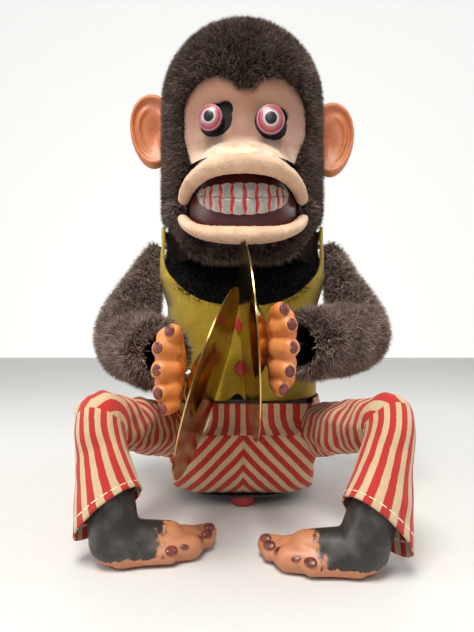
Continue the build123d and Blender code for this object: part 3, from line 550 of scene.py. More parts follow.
def make_head(tones):
    us = np.linspace(-pi * SKIN_R, pi * SKIN_R, 240, endpoint=False)
    vs = np.linspace(128, CROWN_Z + pi / 2 * SKIN_R * 0.995, 150)
    points, faces, _, _ = trimmed(head_surface, us, vs, head_keep, wrap=True)
    chin = make_chin()
    backing = mottled("plush_backing", (0.016, 0.011, 0.010), (0.03, 0.022, 0.018), 0.95, 200, 900, 0.4)
    whole = joined([(points, faces), chin])
    skin = mesh_piece("head_skin", whole[0], [whole[1]], [backing], body="head")
    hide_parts("head_plush")

    def part(ahead):
        return lambda middle: np.where((middle[:, 1] < 6) == ahead, 1.0, 0.0)

    halves = (("head_fur_front", True, 64000, 11), ("head_fur_back", False, 46000, 12))
    for name, ahead, count, seed in halves:
        pile = fur(name, (points, faces), head_lay, count, 4.7, 0.40, tones, seed, "head", 0.95, 0.40,
                   part(ahead))

    def chin_lay(root, out):
        return np.array([0, 0, -0.55]) + out * 0.1

    pile = fur("chin_fur", chin, chin_lay, 11000, 4.6, 0.40, tones, 13, "head", 0.8, 0.45)


def ball_front(x, z, radius, keep_out=-20.0):
    """Front of a ball on the lip axis, and keep_out where there is none."""
    depth = radius ** 2 - x ** 2 - (z - LIP_Z) ** 2
    return np.where(depth > 0, LIP_Y - np.sqrt(np.maximum(depth, 0)), keep_out)


def smooth_front(a, b, soft):
    """The nearer of two depths, with a soft join."""
    return -soft * np.log(np.exp(-a / soft) + np.exp(-b / soft))


def mask_surface(x, z):
    cylinder = HEAD_Y - np.sqrt(np.maximum(44.4 ** 2 - x ** 2, 1.0))
    brow = 0.9 * np.exp(-((z - 204) / 6.0) ** 2) * np.exp(-(x / 22.0) ** 4)
    bridge = 1.6 * np.exp(-(x / 4.5) ** 2) * np.exp(-((z - 187) / 12.0) ** 2)
    muzzle = 41.9 - 5.0 * np.clip((np.abs(x) - 12) / 13, 0, 1) ** 2
    y = smooth_front(cylinder - brow - bridge, ball_front(x, z, muzzle), 1.5)
    for hx, hz in HOLES.values():
        away = np.hypot(x - hx, z - hz)
        y = y + 0.3 * np.exp(-(np.maximum(away - 8.0, 0) / 2.4) ** 2)
    return np.stack([x, y, z], axis=1)


def socket(x, z, side):
    """How far outside one eye's almond hole a point is."""
    hx, hz = HOLES[side]
    dx, dz = (x - hx) * SIDES[side], z - hz
    lean = 1 if side == "right" else -1
    round_part = np.hypot(dx / 1.02, dz) - 8.4
    corner = np.hypot(dx + lean * 4.6, dz - 4.6) - 4.4
    return np.minimum(round_part, corner)


def mask_keep(x, z):
    edge = np.minimum(face_outline(x, z) + 0.6, z - MASK_LOW)
    return np.minimum(edge, np.minimum(socket(x, z, "right"), socket(x, z, "left")))


def make_face():
    xs, zs = np.arange(-34, 35.6, 0.6), np.arange(163, 216, 0.6)
    points, faces, _, _ = trimmed(mask_surface, xs, zs, mask_keep)
    nostrils = [(s * 4.6, 175.2, 2.6, (0.55, 0.33, 0.09)) for s in (-1, 1)]
    # painted shade: the face felt darkens from the muzzle up to the brow, standing for the shade under the
    # brow's fur
    shade_bands = [(172, None), (184, (0.44, 0.27, 0.205)), (201, (0.28, 0.142, 0.092))]
    skin = felt("face_felt", (0.30, 0.15, 0.10), (0.92, 0.70, 0.51), shade_bands, nostrils)
    mask = mesh_piece("face_felt", points, [faces], [skin], body="head")
    thick = mask.modifiers.new("felt", "SOLIDIFY")
    thick.thickness, thick.offset = 1.0 * MM, -1.0
    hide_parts("face_mask")


def make_sockets():
    """Black lining behind each eye's hole."""
    black = mottled("socket_black", (0.006, 0.005, 0.005), (0.012, 0.010, 0.010), 0.9, 200, 900, 0.3)
    parts = []
    turn = np.linspace(0, 2 * pi, 40, endpoint=False)
    for side in SIDES:
        hx, hz = HOLES[side]
        rows = []
        for r in (12.5, 9.0, 5.0, 0.05):
            x, z = hx + r * np.cos(turn), hz + r * np.sin(turn)
            rows.append(np.stack([x, HEAD_Y - np.sqrt(42.95 ** 2 - x ** 2), z], axis=1))
        parts.append((np.concatenate(rows), grid_faces(4, 40, True)))
    points, faces, _ = joined(parts)
    mesh_piece("eye_sockets", points, [faces], [black], body="head")


def make_eye(side, paint, rim):
    """Domed tin disc on a tube that leans back into its hole."""
    ex, ez = EYES[side]
    hx, hz = HOLES[side]
    yaw, rx, rz, front = {"right": (-15.0, 6.45, 6.9, -50.8), "left": (3.0, 7.1, 7.7, -52.2)}[side]
    turn = np.linspace(0, 2 * pi, 72, endpoint=False)
    rings = [(r, -2.4 * (1 - (r / 6.9) ** 2)) for r in np.linspace(0.02, 6.6, 56)]
    rings += [(6.75, 0.05), (6.85, 0.3), (6.85, 0.9), (5.9, 1.3), (5.6, 1.6), (5.5, 13.0)]
    points = np.array([[r * cos(a) * rx / 6.9, y, r * sin(a) * rz / 6.9] for r, y in rings for a in turn])
    c, s = cos(radians(yaw)), sin(radians(yaw))
    x, y = points[:, 0], points[:, 1]
    points[:, :2] = np.stack([x * c - y * s, x * s + y * c], axis=1)
    points += (ex, front, ez)
    last = slice(-72, None)
    points[last] = np.stack([hx + 5.6 * np.cos(turn), np.full(72, -39.5), hz + 5.6 * np.sin(turn)], axis=1)
    radius = np.repeat([r for r, _ in rings], 72)
    faces = grid_faces(len(rings), 72, True)
    index = np.repeat([0] * 57 + [1] * (len(rings) - 58), 72)
    pattern = np.stack([radius, np.zeros(len(radius))], axis=1)
    eye = mesh_piece(f"eye_disc_{side}", points, [faces], [paint, rim], index, pattern, "eyes")
    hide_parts(f"eye_{side}")


# ---------------------------------------------------------------- mouth
def lip_path(half, foot, rise, power, count=110):
    """Evenly spaced centreline of a lip: an arch of that half width over z = foot."""
    turn = np.linspace(pi, 0, 2000)
    x = half * np.sign(np.cos(turn)) * np.abs(np.cos(turn)) ** (2 / power)
    z = foot + rise * np.sin(turn)
    share = (np.sqrt(31.0 ** 2 - x ** 2) - 9.6) / 21.4
    line = np.stack([x, -44 - 18 * share, z], axis=1)
    along = np.concatenate([[0], np.cumsum(np.linalg.norm(np.diff(line, axis=0), axis=1))])
    at = np.linspace(0, along[-1], count)
    return np.stack([np.interp(at, along, line[:, k]) for k in range(3)], axis=1)


def lip_roll(name, node_name, path, heights, material, inner, metal):
    """Felt roll on two levers; heights are its half height at the ends and in the middle."""
    count, around = len(path), 36
    tangent = unit(np.gradient(path, axis=0))
    out = unit(path - np.array([0, -22, LIP_Z])) * (0.35, 1, 0.35)
    out = unit(out - np.sum(out * tangent, axis=1)[:, None] * tangent)
    up = np.cross(out, tangent)
    middle = path[:, 2] - LIP_Z
    up *= np.sign(np.sum(up * np.stack([path[:, 0] * 0.6, path[:, 0] * 0, middle], axis=1), axis=1))[:, None]
    place = np.linspace(0, 1, count)
    near = np.minimum(place, 1 - place)
    high = np.interp(near, [0, 0.08, 0.2, 0.4], [heights[0], heights[0] + 0.5, heights[1] - 0.9, heights[1]])
    cap = np.sqrt(1 - np.clip(1 - near / 0.045, 0, 1) ** 2) * 0.97 + 0.03
    deep = np.interp(near, [0, 0.15, 0.4], [3.9, 4.4, 5.0])
    turn = np.linspace(0, 2 * pi, around, endpoint=False)
    rows = []
    for k in range(count):
        c, s = np.cos(turn), np.sin(turn)
        # fuller in front, flat and pinched along the edge that faces the teeth
        h = high[k] * cap[k] * np.sign(c) * np.abs(c) ** np.where(c > 0, 0.95, 1.25)
        d = deep[k] * cap[k] * np.sign(s) * np.abs(s) ** 0.9
        rows.append(path[k] + up[k] * h[:, None] + out[k] * d[:, None])
    points = np.concatenate(rows)
    points = points + unit(points - np.repeat(path, around, axis=0)) * 0.16 * ripple(points, 2.2, 3)[:, None]
    faces = grid_faces(count, around, True)
    side = np.tile((np.cos(turn) < -0.62) & (np.sin(turn) < 0.6), count)
    index = list(side[faces[:, 0]].astype(int))
    parts = [(points, faces)]
    lift = 1 if node_name == "upper_lip" else -1
    for s in (-1, 1):
        x = s * (30.2 if lift > 0 else 31.6)
        for a, b in (((s * 28.6, -42.5), (x, -36.0)), ((x, -36.5), (x + s * 1.5, -24.0))):
            rise = [3.0 if y < -40 else 0.0 for _, y in (a, b)]
            ends = [np.array([p[0], p[1], LIP_Z + lift * r]) for p, r in zip((a, b), rise)]
            parts.append(bar(ends[0], ends[1], (0.45, 1.7)))
    whole = joined(parts)
    index = np.concatenate([index, np.full(len(whole[1]) - len(index), 2)])
    roll = mesh_piece(name, whole[0], [whole[1]], [material, inner, metal], index, body=node_name)
    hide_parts(node_name)


def bar(a, b, half):
    """Flat bar from a to b, as points and faces; half is its half thickness and half height."""
    ahead = unit(b - a)
    side = unit(np.cross(ahead, (0, 0, 1.0)))
    up = np.cross(side, ahead)
    corners = [a + side * i * half[0] + up * j * half[1] for i, j in ((-1, -1), (1, -1), (1, 1), (-1, 1))]
    ends = corners + [c + (b - a) for c in corners]
    faces = [(0, 1, 5, 4), (1, 2, 6, 5), (2, 3, 7, 6), (3, 0, 4, 7), (3, 2, 1, 0), (4, 5, 6, 7)]
    return np.array(ends), np.array(faces)


def make_lips():
    outer = felt("lip_felt", (0.44, 0.26, 0.16), (0.78, 0.54, 0.37))
    inner = felt("lip_inner_felt", (0.50, 0.22, 0.13), (0.72, 0.40, 0.26))
    dark = mottled("lever_dark", (0.020, 0.014, 0.012), (0.04, 0.03, 0.025), 0.6, 200, 800, 0.1)
    upper = lip_path(29.8, 149.2, 15.0, 2.6)
    lip_roll("upper_lip_felt", "upper_lip", upper, (1.9, 4.4), outer, outer, dark)
    lower = lip_path(29.7, 144.2, -13.8, 2.5)
    lip_roll("lower_lip_felt", "lower_lip", lower, (2.3, 4.1), outer, inner, dark)


def make_lining():
    """Cloth behind the mouth, out to the cheeks, coloured near black as painted shade for the shadowed recess
    above the teeth and at the corners, and the red mouth in front of it.
    """
    # painted shade: the near-black lining colour stands for the shade in the mouth's recess and corners
    black = mottled("mouth_shade_black", (0.006, 0.002, 0.002), (0.012, 0.005, 0.005), 0.95, 150, 900, 0.3,
                    Specular_IOR_Level=0.1)
    across = np.radians(np.linspace(-86, 86, 48))
    wing = np.array([[-41.5, -13], [-38, -19], [-35, -24]])

    def row(x, y, z):
        left = np.column_stack([wing, np.full(3, z)])
        return np.concatenate([left, np.stack([x, y, np.full(len(x), z)], axis=1), left[::-1] * (-1, 1, 1)])

    rows = []
    for tilt in np.radians(np.linspace(-50, 50, 30)):
        y = LIP_Y - 30.4 * np.cos(across) * cos(tilt)
        rows.append(row(33.2 * np.sin(across), y, LIP_Z + 30.4 * sin(tilt)))
    edge = rows[29][3:-3]
    for forward, z in ((0.35, 170.0), (0.75, 170.4), (1.0, 169.9)):
        front = mask_surface(22 * np.sin(across), np.full(48, 170.4))[:, 1] + 1.4
        x = edge[:, 0] * (1 - forward) + 25.5 * np.sin(across) * forward
        rows.append(row(x, edge[:, 1] * (1 - forward) + front * forward, z))
    lining = mesh_piece("mouth_lining", np.concatenate(rows), [grid_faces(33, 54)], [black], body="head")

    def bowl(x, z):
        depth = 32.4 ** 2 - x ** 2 - (z - LIP_Z) ** 2
        return np.stack([x, LIP_Y - np.sqrt(np.maximum(depth, 1)), z], axis=1)

    def rim(x, z):
        return 24 * (1 - ((np.abs(x) / 27.2) ** 2.5 + (np.abs(z - 146) / 22.0) ** 2.5 + 1e-9) ** 0.4)

    points, faces, _, _ = trimmed(bowl, np.arange(-28, 28.1, 0.8), np.arange(123, 169, 0.8), rim)
    red = mottled("mouth_maroon", (0.050, 0.008, 0.009), (0.085, 0.014, 0.014), 0.34, 60, 800, 0.08)
    mouth = mesh_piece("mouth_red", points, [faces], [red], body="head")
    thick = mouth.modifiers.new("wall", "SOLIDIFY")
    thick.thickness, thick.offset = 1.4 * MM, -1.0
    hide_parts("mouth_bowl")


BARS = [(-18.7, 0.5), (-15.6, 0.8), (-10.9, 0.85), (-5.3, 0.9), (0.7, 0.9), (6.6, 0.9), (12.5, 0.85),
        (16.7, 0.7), (19.4, 0.45)]
TEETH_Z = 153.4


def teeth_ends(x):
    """Heights of the upper and lower edge of the teeth: nearly flat above, round below."""
    share = np.clip(np.abs(x + 0.1) / 22.6, 0, 1)
    return (TEETH_Z + 2.7 * (1 - share ** 4.5) ** 0.6, TEETH_Z - 12.0 * np.sqrt(1 - share ** 2.1))


def make_teeth():
    """Printed plate with two rows of moulded teeth and red gaps."""
    edges = np.array([-22.7] + [x for x, _ in BARS] + [22.5])

    def bite(x):
        return 148.6 + 3.2 * (x / 20) ** 2

    def inside(x, z):
        tooth = np.clip(np.searchsorted(edges, x) - 1, 0, len(edges) - 2)
        middle, width = (edges[tooth] + edges[tooth + 1]) / 2, np.diff(edges)[tooth]
        bow = 0.7 * np.clip(1 - (2 * (x - middle) / width) ** 2, 0, 1)
        top, low = teeth_ends(x)
        return np.minimum(top + bow - z, z - low + bow)

    def surface(x, z):
        near = np.min(np.abs(x[:, None] - edges[None, :]), axis=1)
        r = 33.3 + 0.55 * (1 - np.exp(-(near / 1.1) ** 2)) * (1 - 0.7 * np.exp(-((z - bite(x)) / 0.7) ** 2))
        depth = r ** 2 - x ** 2 - (z - LIP_Z) ** 2
        return np.stack([x, LIP_Y - np.sqrt(np.maximum(depth, 1)), z], axis=1)

    points, faces, x, z = trimmed(surface, np.arange(-22.8, 22.9, 0.2), np.arange(140, 158, 0.2), inside)
    enamel = mottled("teeth_enamel", (0.20, 0.205, 0.17), (0.33, 0.33, 0.285), 0.3, 120, 700, 0.05)
    red = mottled("teeth_red", (0.27, 0.008, 0.010), (0.42, 0.022, 0.022), 0.4, 200, 700, 0.05)
    pink = mottled("teeth_pink", (0.42, 0.20, 0.18), (0.56, 0.31, 0.28), 0.4, 200, 700, 0.05)
    dark = mottled("teeth_line", (0.04, 0.015, 0.015), (0.09, 0.03, 0.03), 0.5, 200, 700, 0.05)
    fx, fz = x[faces].mean(axis=1), z[faces].mean(axis=1)
    index = np.where(inside(fx, fz) < 0.32, 2, 0)
    for at, half in BARS:
        top, low = (float(v) for v in teeth_ends(np.array(at)))
        middle, high = (top + low) / 2, (top - low) / 2
        taper = np.sqrt(np.clip(1 - (np.abs(fz - middle) / max(high, 0.5)) ** 4, 0, 1))
        sway = 0.3 * np.sin(fz * 0.75 + at * 1.7)
        away = np.abs(fx - at - sway)
        index = np.where((away < half * taper + 0.26) & (index == 0), 2, index)
        index = np.where(away < half * taper, 1, index)
    line = np.abs(fz - bite(fx) - 0.25 * np.sin(fx * 0.9)) < 0.16
    index = np.where(line & (np.abs(fx) < 21), 3, index)
    teeth = mesh_piece("teeth_relief", points, [faces], [enamel, red, pink, dark], index, body="head")
    thick = teeth.modifiers.new("plate", "SOLIDIFY")
    thick.thickness, thick.offset = 0.5 * MM, -1.0
    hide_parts("teeth_plate")


# ---------------------------------------------------------------- ears
EAR_Z = {"right": 205.0, "left": 200.0}


def make_ear(side, vinyl):
    """Moulded ear: a rolled rim round a hollow, with an inner fold."""
    s = SIDES[side]
    rings, around = 34, 96
    turn = np.linspace(0, 2 * pi, around, endpoint=False)
    reach = np.linspace(0.02, 1.0, rings)
    rho, a = (g.ravel() for g in np.meshgrid(reach, turn, indexing="ij"))
    # a = 0 points away from the head; the lobe is narrower than the top
    across = 13.5 * (1 + 0.10 * np.sin(a)) * np.cos(a)
    x = 53.0 + rho * across + rho * np.sin(a)
    z = EAR_Z[side] + rho * 22.5 * np.sin(a)
    outer = 0.5 + 0.5 * np.tanh(2.2 * (np.cos(a - 0.35) + 0.55))
    rim = 2.3 * np.exp(-((rho - 0.88) / 0.11) ** 2) * outer
    fold = 1.5 * np.exp(-((rho - 0.60) / 0.09) ** 2) * np.clip(np.cos(a - 0.1), 0, 1)
    tragus = 1.6 * np.exp(-((rho - 0.45) / 0.16) ** 2) * np.clip(-np.cos(a + 0.25), 0, 1) ** 2
    hollow = 2.6 * np.exp(-(np.hypot(rho * np.cos(a) + 0.15, rho * np.sin(a) + 0.1) / 0.42) ** 2)
    lobe = 1.2 * np.exp(-(((rho * np.sin(a) + 0.78) / 0.22) ** 2 + (rho * np.cos(a) / 0.4) ** 2))
    lift = 1.4 + rim + fold + tragus + lobe - hollow
    edge = np.sqrt(np.clip((1.0 - rho) / 0.10, 0, 1))
    front = 0.6 - lift * (0.25 + 0.75 * edge)
    back = 0.9 + 1.7 * np.sqrt(np.clip(1 - rho ** 2.2, 0, 1))
    faces = grid_faces(rings, around, True)
    first = np.stack([s * x, front, z], axis=1)
    second = np.stack([s * x, back, z], axis=1)
    points, faces, _ = joined([(first, faces), (second, faces[:, ::-1])])
    last, total = (rings - 1) * around, rings * around
    ring = np.arange(around)
    rim_faces = np.stack([last + ring, last + (ring + 1) % around,
                          total + last + (ring + 1) % around, total + last + ring], axis=1)
    ear = mesh_piece(f"ear_vinyl_{side}", points, [faces, rim_faces], [vinyl], body="head")
    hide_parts(f"ear_{side}")


# ---------------------------------------------------------------- torso and vest
TORSO = ([8, 24, 48, 80, 116, 147], [36, 40, 42, 43, 43, 42])
CHEST, BACK = ((-41, 100), (-9, 147)), ((42, 100), (33, 147))
TORSO_R = 43.0


def torso_surface(inset):
    def surface(u, v):
        turn, over = u / TORSO_R, np.clip(v - 146.4, 0, None)
        z = np.minimum(v, 146.4)
        r = np.interp(z, *TORSO) - inset
        for (y0, z0), (y1, z1) in (CHEST, BACK):
            away = 1 if y0 > 0 else -1
            plane = np.interp(z, [z0, 160], [y0, y0 + (y1 - y0) * (160 - z0) / (z1 - z0)]) * away - inset
            facing = np.maximum(-np.cos(turn) * away, 1e-3)
            limit = np.where(z > z0 - 1, np.maximum(plane, 0.5) / facing, 200.0)
            r = -1.2 * np.log(np.exp(-r / 1.2) + np.exp(-np.minimum(limit, 200) / 1.2))
        r = np.maximum(r - over, 0.3)
        return np.stack([r * np.sin(turn), -r * np.cos(turn), z], axis=1)
    return surface


def scoop(x, y, z):
    """How far outside the vest's round neck opening a point is."""
    oval = ((np.abs(x) / 40.5) ** 2.3 + (np.abs(z - 130) / 31.2) ** 2.3 + 1e-9) ** (1 / 2.3)
    front = np.where(z > 130, np.abs(x) - 40.5, 33 * (oval - 1))
    back = np.maximum(np.abs(x) - 29, 140 - z)
    return np.where(y < 2, front, back)


def make_vest():
    surface = torso_surface(0.0)
    folds = torso_surface(-0.3)

    def keep(u, v):
        x, y, z = surface(u, v).T
        hem = v - 50.6 - 4.2 * np.exp(-((x + 3) / 3.4) ** 2) * (y < 0)
        armhole = np.hypot(y, z - 136) - 9.0 + np.clip(z - 136, 0, None) * 0.25
        return np.minimum(np.minimum(scoop(x, y, z), hem), np.where(np.abs(x) > 20, armhole, 20))

    def waved(u, v):
        points = surface(u, v)
        wave = 0.5 * ripple(points, 26.0, 21) * np.clip((v - 50) / 30, 0.3, 1)
        lift = 0.55 * np.tanh((u + 0.4) * 3) * np.exp(-np.abs(u) / 9)
        out = unit(folds(u, v) - points)
        points = points + out * (wave * 0.5 + lift + 0.3)[:, None]
        flare = np.clip((v - 100) / 16, 0, 1) * np.clip((np.abs(points[:, 0]) - 34) / 8, 0, 1)
        points[:, 0] += np.sign(points[:, 0]) * flare * 4.6
        return points

    us = np.linspace(-pi * TORSO_R, pi * TORSO_R, 300, endpoint=False)
    points, faces, u, v = trimmed(waved, us, np.arange(49.6, 146.5, 0.9), keep, wrap=True)
    yellow = felt("vest_felt", (0.28, 0.175, 0.012), (0.48, 0.33, 0.028))
    vest = mesh_piece("vest_felt", points, [faces], [yellow], body="body")
    thick = vest.modifiers.new("felt", "SOLIDIFY")
    thick.thickness, thick.offset = 1.2 * MM, -1.0
    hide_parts("vest")


def make_torso(tones):
    surface = torso_surface(1.6)
    us = np.linspace(-pi * TORSO_R, pi * TORSO_R, 160, endpoint=False)
    vs = np.concatenate([np.arange(51.5, 146, 1.2), 146.4 + np.linspace(0, 33, 20)])

    def keep(u, v):
        x, y, _ = surface(u, v).T
        return np.hypot(x, y - 13) - np.where(v > 146, 6.5, -20)

    points, faces, _, _ = trimmed(surface, us, vs, keep, wrap=True)
    backing = mottled("black_backing", (0.006, 0.005, 0.005), (0.014, 0.012, 0.012), 0.95, 200, 900, 0.4)
    skin = mesh_piece("torso_skin", points, [faces], [backing], body="body")
    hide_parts("torso_plush")

    def bare(middle):
        x, y, z = middle.T
        neck = scoop(x, y, z) < 0.8
        arm = (np.hypot(y, z - 136) < 9) & (np.abs(x) > 20)
        return np.where(neck | arm | (z > 146), 1.0, 0.0) * np.where(z > 90, 1, 0)

    def lay(root, out):
        return np.stack([root[:, 0] * 0.006, np.full(len(root), -0.1), np.full(len(root), -0.35)], axis=1)

    pile = fur("torso_fur", (points, faces), lay, 20000, 3.8, 0.42, tones, 31, "body", 0.8, 0.5, bare)


# ---------------------------------------------------------------- arms
ARMS = {
    "right": {"elbow": (66, -17, 80), "wrist": (36, -70, 75)},
    "left": {"elbow": (66, -17, 83), "wrist": (24, -73, 79.5)},
}
SLEEVE_IN = 47.6


def bent_line(points, corner, count):
    """Polyline with its corners rounded off, as evenly spaced points."""
    line = [np.asarray(points[0], float)]
    for before, at, after in zip(points, points[1:], points[2:]):
        before, at, after = (np.asarray(p, float) for p in (before, at, after))
        a = at + unit(before - at) * corner
        b = at + unit(after - at) * corner
        for t in np.linspace(0, 1, 14):
            line.append(a * (1 - t) ** 2 + 2 * at * t * (1 - t) + b * t * t)
    line = np.array(line + [np.asarray(points[-1], float)])
    along = np.concatenate([[0], np.cumsum(np.linalg.norm(np.diff(line, axis=0), axis=1))])
    at = np.linspace(0, along[-1], count)
    return np.stack([np.interp(at, along, line[:, k]) for k in range(3)], axis=1)


def tube(path, radii, first_side, around):
    """Rings round a path; radii is (across, along first_side) for each point of the path."""
    tangent = unit(np.gradient(path, axis=0))
    side = np.asarray(first_side, float)
    turn = np.linspace(0, 2 * pi, around, endpoint=False)
    rows = []
    for k in range(len(path)):
        side = unit(side - (side @ tangent[k]) * tangent[k])
        other = np.cross(tangent[k], side)
        rows.append(path[k] + radii[k][0] * np.cos(turn)[:, None] * side
                    + radii[k][1] * np.sin(turn)[:, None] * other)
    return np.concatenate(rows), grid_faces(len(path), around, True), turn


def make_sleeve(side, tones):
    s = SIDES[side]
    arm = ARMS[side]
    count, around = 90, 64
    path = bent_line([(50.5, 1, 136.5), arm["elbow"], arm["wrist"]], 19, count) * (s, 1, 1)
    place = np.linspace(0, 1, count)
    radius = np.interp(place, [0, 0.04, 0.12, 0.22, 0.34, 0.48, 0.62, 0.93, 0.975, 1.0],
                       [0.8, 3.6, 5.6, 8.4, 12.2, 14.6, 14.2, 13.4, 11.6, 7.6])
    radius = np.convolve(np.pad(radius, 3, "edge"), np.ones(7) / 7, "valid")
    points, faces, _ = tube(path, np.stack([radius, radius], axis=1), (s, 0, 0), around)
    points = points + unit(points - np.repeat(path, around, axis=0)) * 0.7 * ripple(points, 15, 41)[:, None]
    inner = np.interp(points[:, 2], [100, 108, 136, 170], [30, SLEEVE_IN, SLEEVE_IN, SLEEVE_IN + 6])
    close = (np.abs(points[:, 1]) < 46) & (points[:, 0] * s < inner)
    points[close, 0] = s * inner[close]
    backing = bpy.data.materials["plush_backing"]
    skin = mesh_piece(f"sleeve_skin_{side}", points, [faces], [backing], body=f"{side}_arm")
    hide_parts(f"sleeve_{side}")
    ahead = unit(np.gradient(path, axis=0))

    def lay(root, out):
        gap = np.linalg.norm(root[:, None, :] - path[None, ::6, :], axis=2)
        nearest = np.argmin(gap, axis=1) * 6
        end = np.clip(nearest / count - 0.86, 0, 1)[:, None] * 5
        return ahead[nearest] * (0.30 + end) + np.array([0, 0, -0.15])

    pile = fur(f"sleeve_fur_{side}", (points, faces), lay, 52000, 5.0, 0.36, tones, 50 + s,
               f"{side}_arm", 0.85, 0.5)


# tips of the five fingers from the top down, and the middle of the palm
HANDS = {
    "right": {"palm": (30.2, -84, 71.0), "tips": [(28.6, -98, 85.0), (33.0, -98.5, 78.6), (33.2, -98.5, 70.4),
                                                  (32.8, -98, 61.8), (31.4, -97, 56.0)]},
    "left": {"palm": (14.8, -86, 79.0), "tips": [(14.6, -100, 93.4), (17.4, -101, 87.6), (17.8, -101, 79.2),
                                                 (16.6, -100.5, 70.4), (14.4, -99.5, 63.6)]},
}


def nail_shape(at, way, radii):
    """Small domed nail facing one way."""
    way = unit(np.asarray(way, float))
    side = unit(np.cross((0, 0, 1.0), way))
    up = np.cross(way, side)
    return ellipsoid(at, [side * radii[0], up * radii[1], way * radii[2]], 22, 14)


def make_hand(side, vinyl, nail):
    s = SIDES[side]
    px, py, pz = HANDS[side]["palm"]
    tips = HANDS[side]["tips"]
    flip = np.array([s, 1, 1])
    balls = []
    for dz, half in ((-11.5, 5.6), (-6, 6.2), (0, 6.5), (6, 6.3), (11, 5.7)):
        balls += chain((px, py - 6, pz + dz), (px + 0.5, py + 8, pz + dz * 0.7), half, half - 0.4, 2.5)
    for k, (x, y, z) in enumerate(tips):
        r = (3.6, 3.9, 4.1, 3.9, 3.5)[k]
        knuckle = (px - 1.5, y + 4.0, z * 0.93 + pz * 0.07)
        balls += chain(knuckle, (x - 0.6, y + 1.2, z), r + 0.3, r)
        balls += chain((px, py - 2, z * 0.8 + pz * 0.2), knuckle, 4.6, r + 0.3, 2.0)
    balls = [(np.asarray(c) * flip, r) for c, r in balls]
    skin = skin_round(f"hand_{side}", balls, 0.75, 3)
    skin = (skin[0] + 0.12 * ripple(skin[0], 5.0, 7)[:, None] * point_normals(*skin), skin[1])
    parts = [skin]
    for x, y, z in tips:
        way = unit(np.array([0.36, -0.93, 0.05 + (z - pz) * 0.012]))
        at = (np.array((x - 0.6, y + 1.2, z)) + way * 3.2) * flip
        parts.append(nail_shape(at, way * flip, (2.1, 2.4, 0.8)))
    points, faces, index = joined(parts)
    index = (index > 0).astype(int)
    hand = mesh_piece(f"hand_vinyl_{side}", points, [faces], [vinyl, nail], index, body=f"{side}_arm")
    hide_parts(f"hand_{side}")


# ---------------------------------------------------------------- trousers
LEGS = {
    "right": {"hip": (33, -16, 31), "knee": (56.5, -99, 50.5), "cuff": (50.5, -104, 24),
              "heel": (48, -106), "toe": (10, -93)},
    "left": {"hip": (33, -16, 31), "knee": (55.5, -103, 50.5), "cuff": (46.5, -111.5, 22),
             "heel": (41.5, -113), "toe": (4, -104)},
}


def make_leg(side, cotton):
    s = SIDES[side]
    leg = LEGS[side]
    hip, knee, cuff = (np.array(leg[k], float) for k in ("hip", "knee", "cuff"))
    hem = cuff + (0.2, -1.0, -6.0)
    thigh = bent_line([hip, knee + (0, 1.5, 0.5), hem], 5.5, 120)
    path = thigh * (s, 1, 1)
    count, around = len(path), 72
    place = np.linspace(0, 1, count)
    bend = np.linalg.norm(knee - hip) / (np.linalg.norm(knee - hip) + np.linalg.norm(hem - knee))
    across = np.interp(place, [0, 0.3, bend - 0.06, bend, bend + 0.1, 1.0], [14, 12.4, 10.0, 9.0, 9.8, 12.6])
    deep = np.interp(place, [0, 0.3, bend - 0.06, bend, bend + 0.08, 1.0], [14, 12.4, 10.4, 11.2, 9.2, 11.6])
    points, faces, turn = tube(path, np.stack([across, deep], axis=1), (1, 0, 0), around)
    ring = np.repeat(np.arange(count), around)
    phi = np.tile(turn, count)
    share = ring / (count - 1)
    # the hem rides up over the instep and hangs down behind and outside
    low = np.clip((share - bend - 0.03) / (1 - bend - 0.03), 0, 1) ** 1.5
    dx, dy = (points[:, 0] - path[ring, 0]) * s, points[:, 1] - path[ring, 1]
    points[:, 2] += low * (-0.35 * dy - 0.62 * dx)
    # folds: rings of creases behind the knee and along the thigh, and a flattened crest on the knee
    creases = ripple(points * (1, 1, 1.6), 13.0, 61 + s) * 0.9 + ripple(points, 6.0, 71 + s) * 0.3
    points = points + unit(points - path[ring]) * (creases * (0.35 + 0.65 * (share < bend)))[:, None]
    crest = np.exp(-((share - bend) / 0.035) ** 2) * np.clip(points[:, 2] - path[ring, 2], 0, 12) / 10
    points[:, 2] += crest * (1.6 + 0.16 * dx)
    along = share * (np.linalg.norm(knee - hip) + np.linalg.norm(hem - knee))
    total = along.max()
    # stripes run down the shin, and slant across the thigh
    arc = s * phi * 11.2
    shin = np.stack([arc + (total - along) * 0.10, total - along], axis=1)
    cross = np.stack([along * 0.86 + arc * 0.45, total - along], axis=1)
    corner = faces.ravel()
    wrap = (corner.reshape(-1, 4) % around == 0) & (faces[:, :1] % around == around - 1)
    extra = s * 2 * pi * 11.2 * wrap.ravel()
    lower = np.repeat(share[faces].mean(axis=1) > bend + 0.004, 4)
    pattern = np.where(lower[:, None], shin[corner] + np.stack([extra, 0 * extra], axis=1),
                       cross[corner] + np.stack([extra * 0.45, 0 * extra], axis=1))
    cloth = mesh_piece(f"trouser_cloth_{side}", points, [faces], [cotton], None, pattern, "body")
    thick = cloth.modifiers.new("cotton", "SOLIDIFY")
    thick.thickness, thick.offset = 0.7 * MM, -1.0
    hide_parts(f"trouser_leg_{side}")


SEAT_Y = -2.0
SIDE_Z, SIDE_R = [6.2, 8, 12, 21, 36, 50.6], [34.5, 37.4, 40.6, 43.6, 45, 43.5]
LAP_Z = [6.2, 8, 12, 18, 26, 32, 35.6, 37.4, 39.5, 43, 50.6]
LAP_Y = [40.5, 43.5, 48.2, 51.8, 53.6, 53.2, 52.2, 49.6, 45.6, 43.6, 43.5]
RIDGE_Z = 36.6


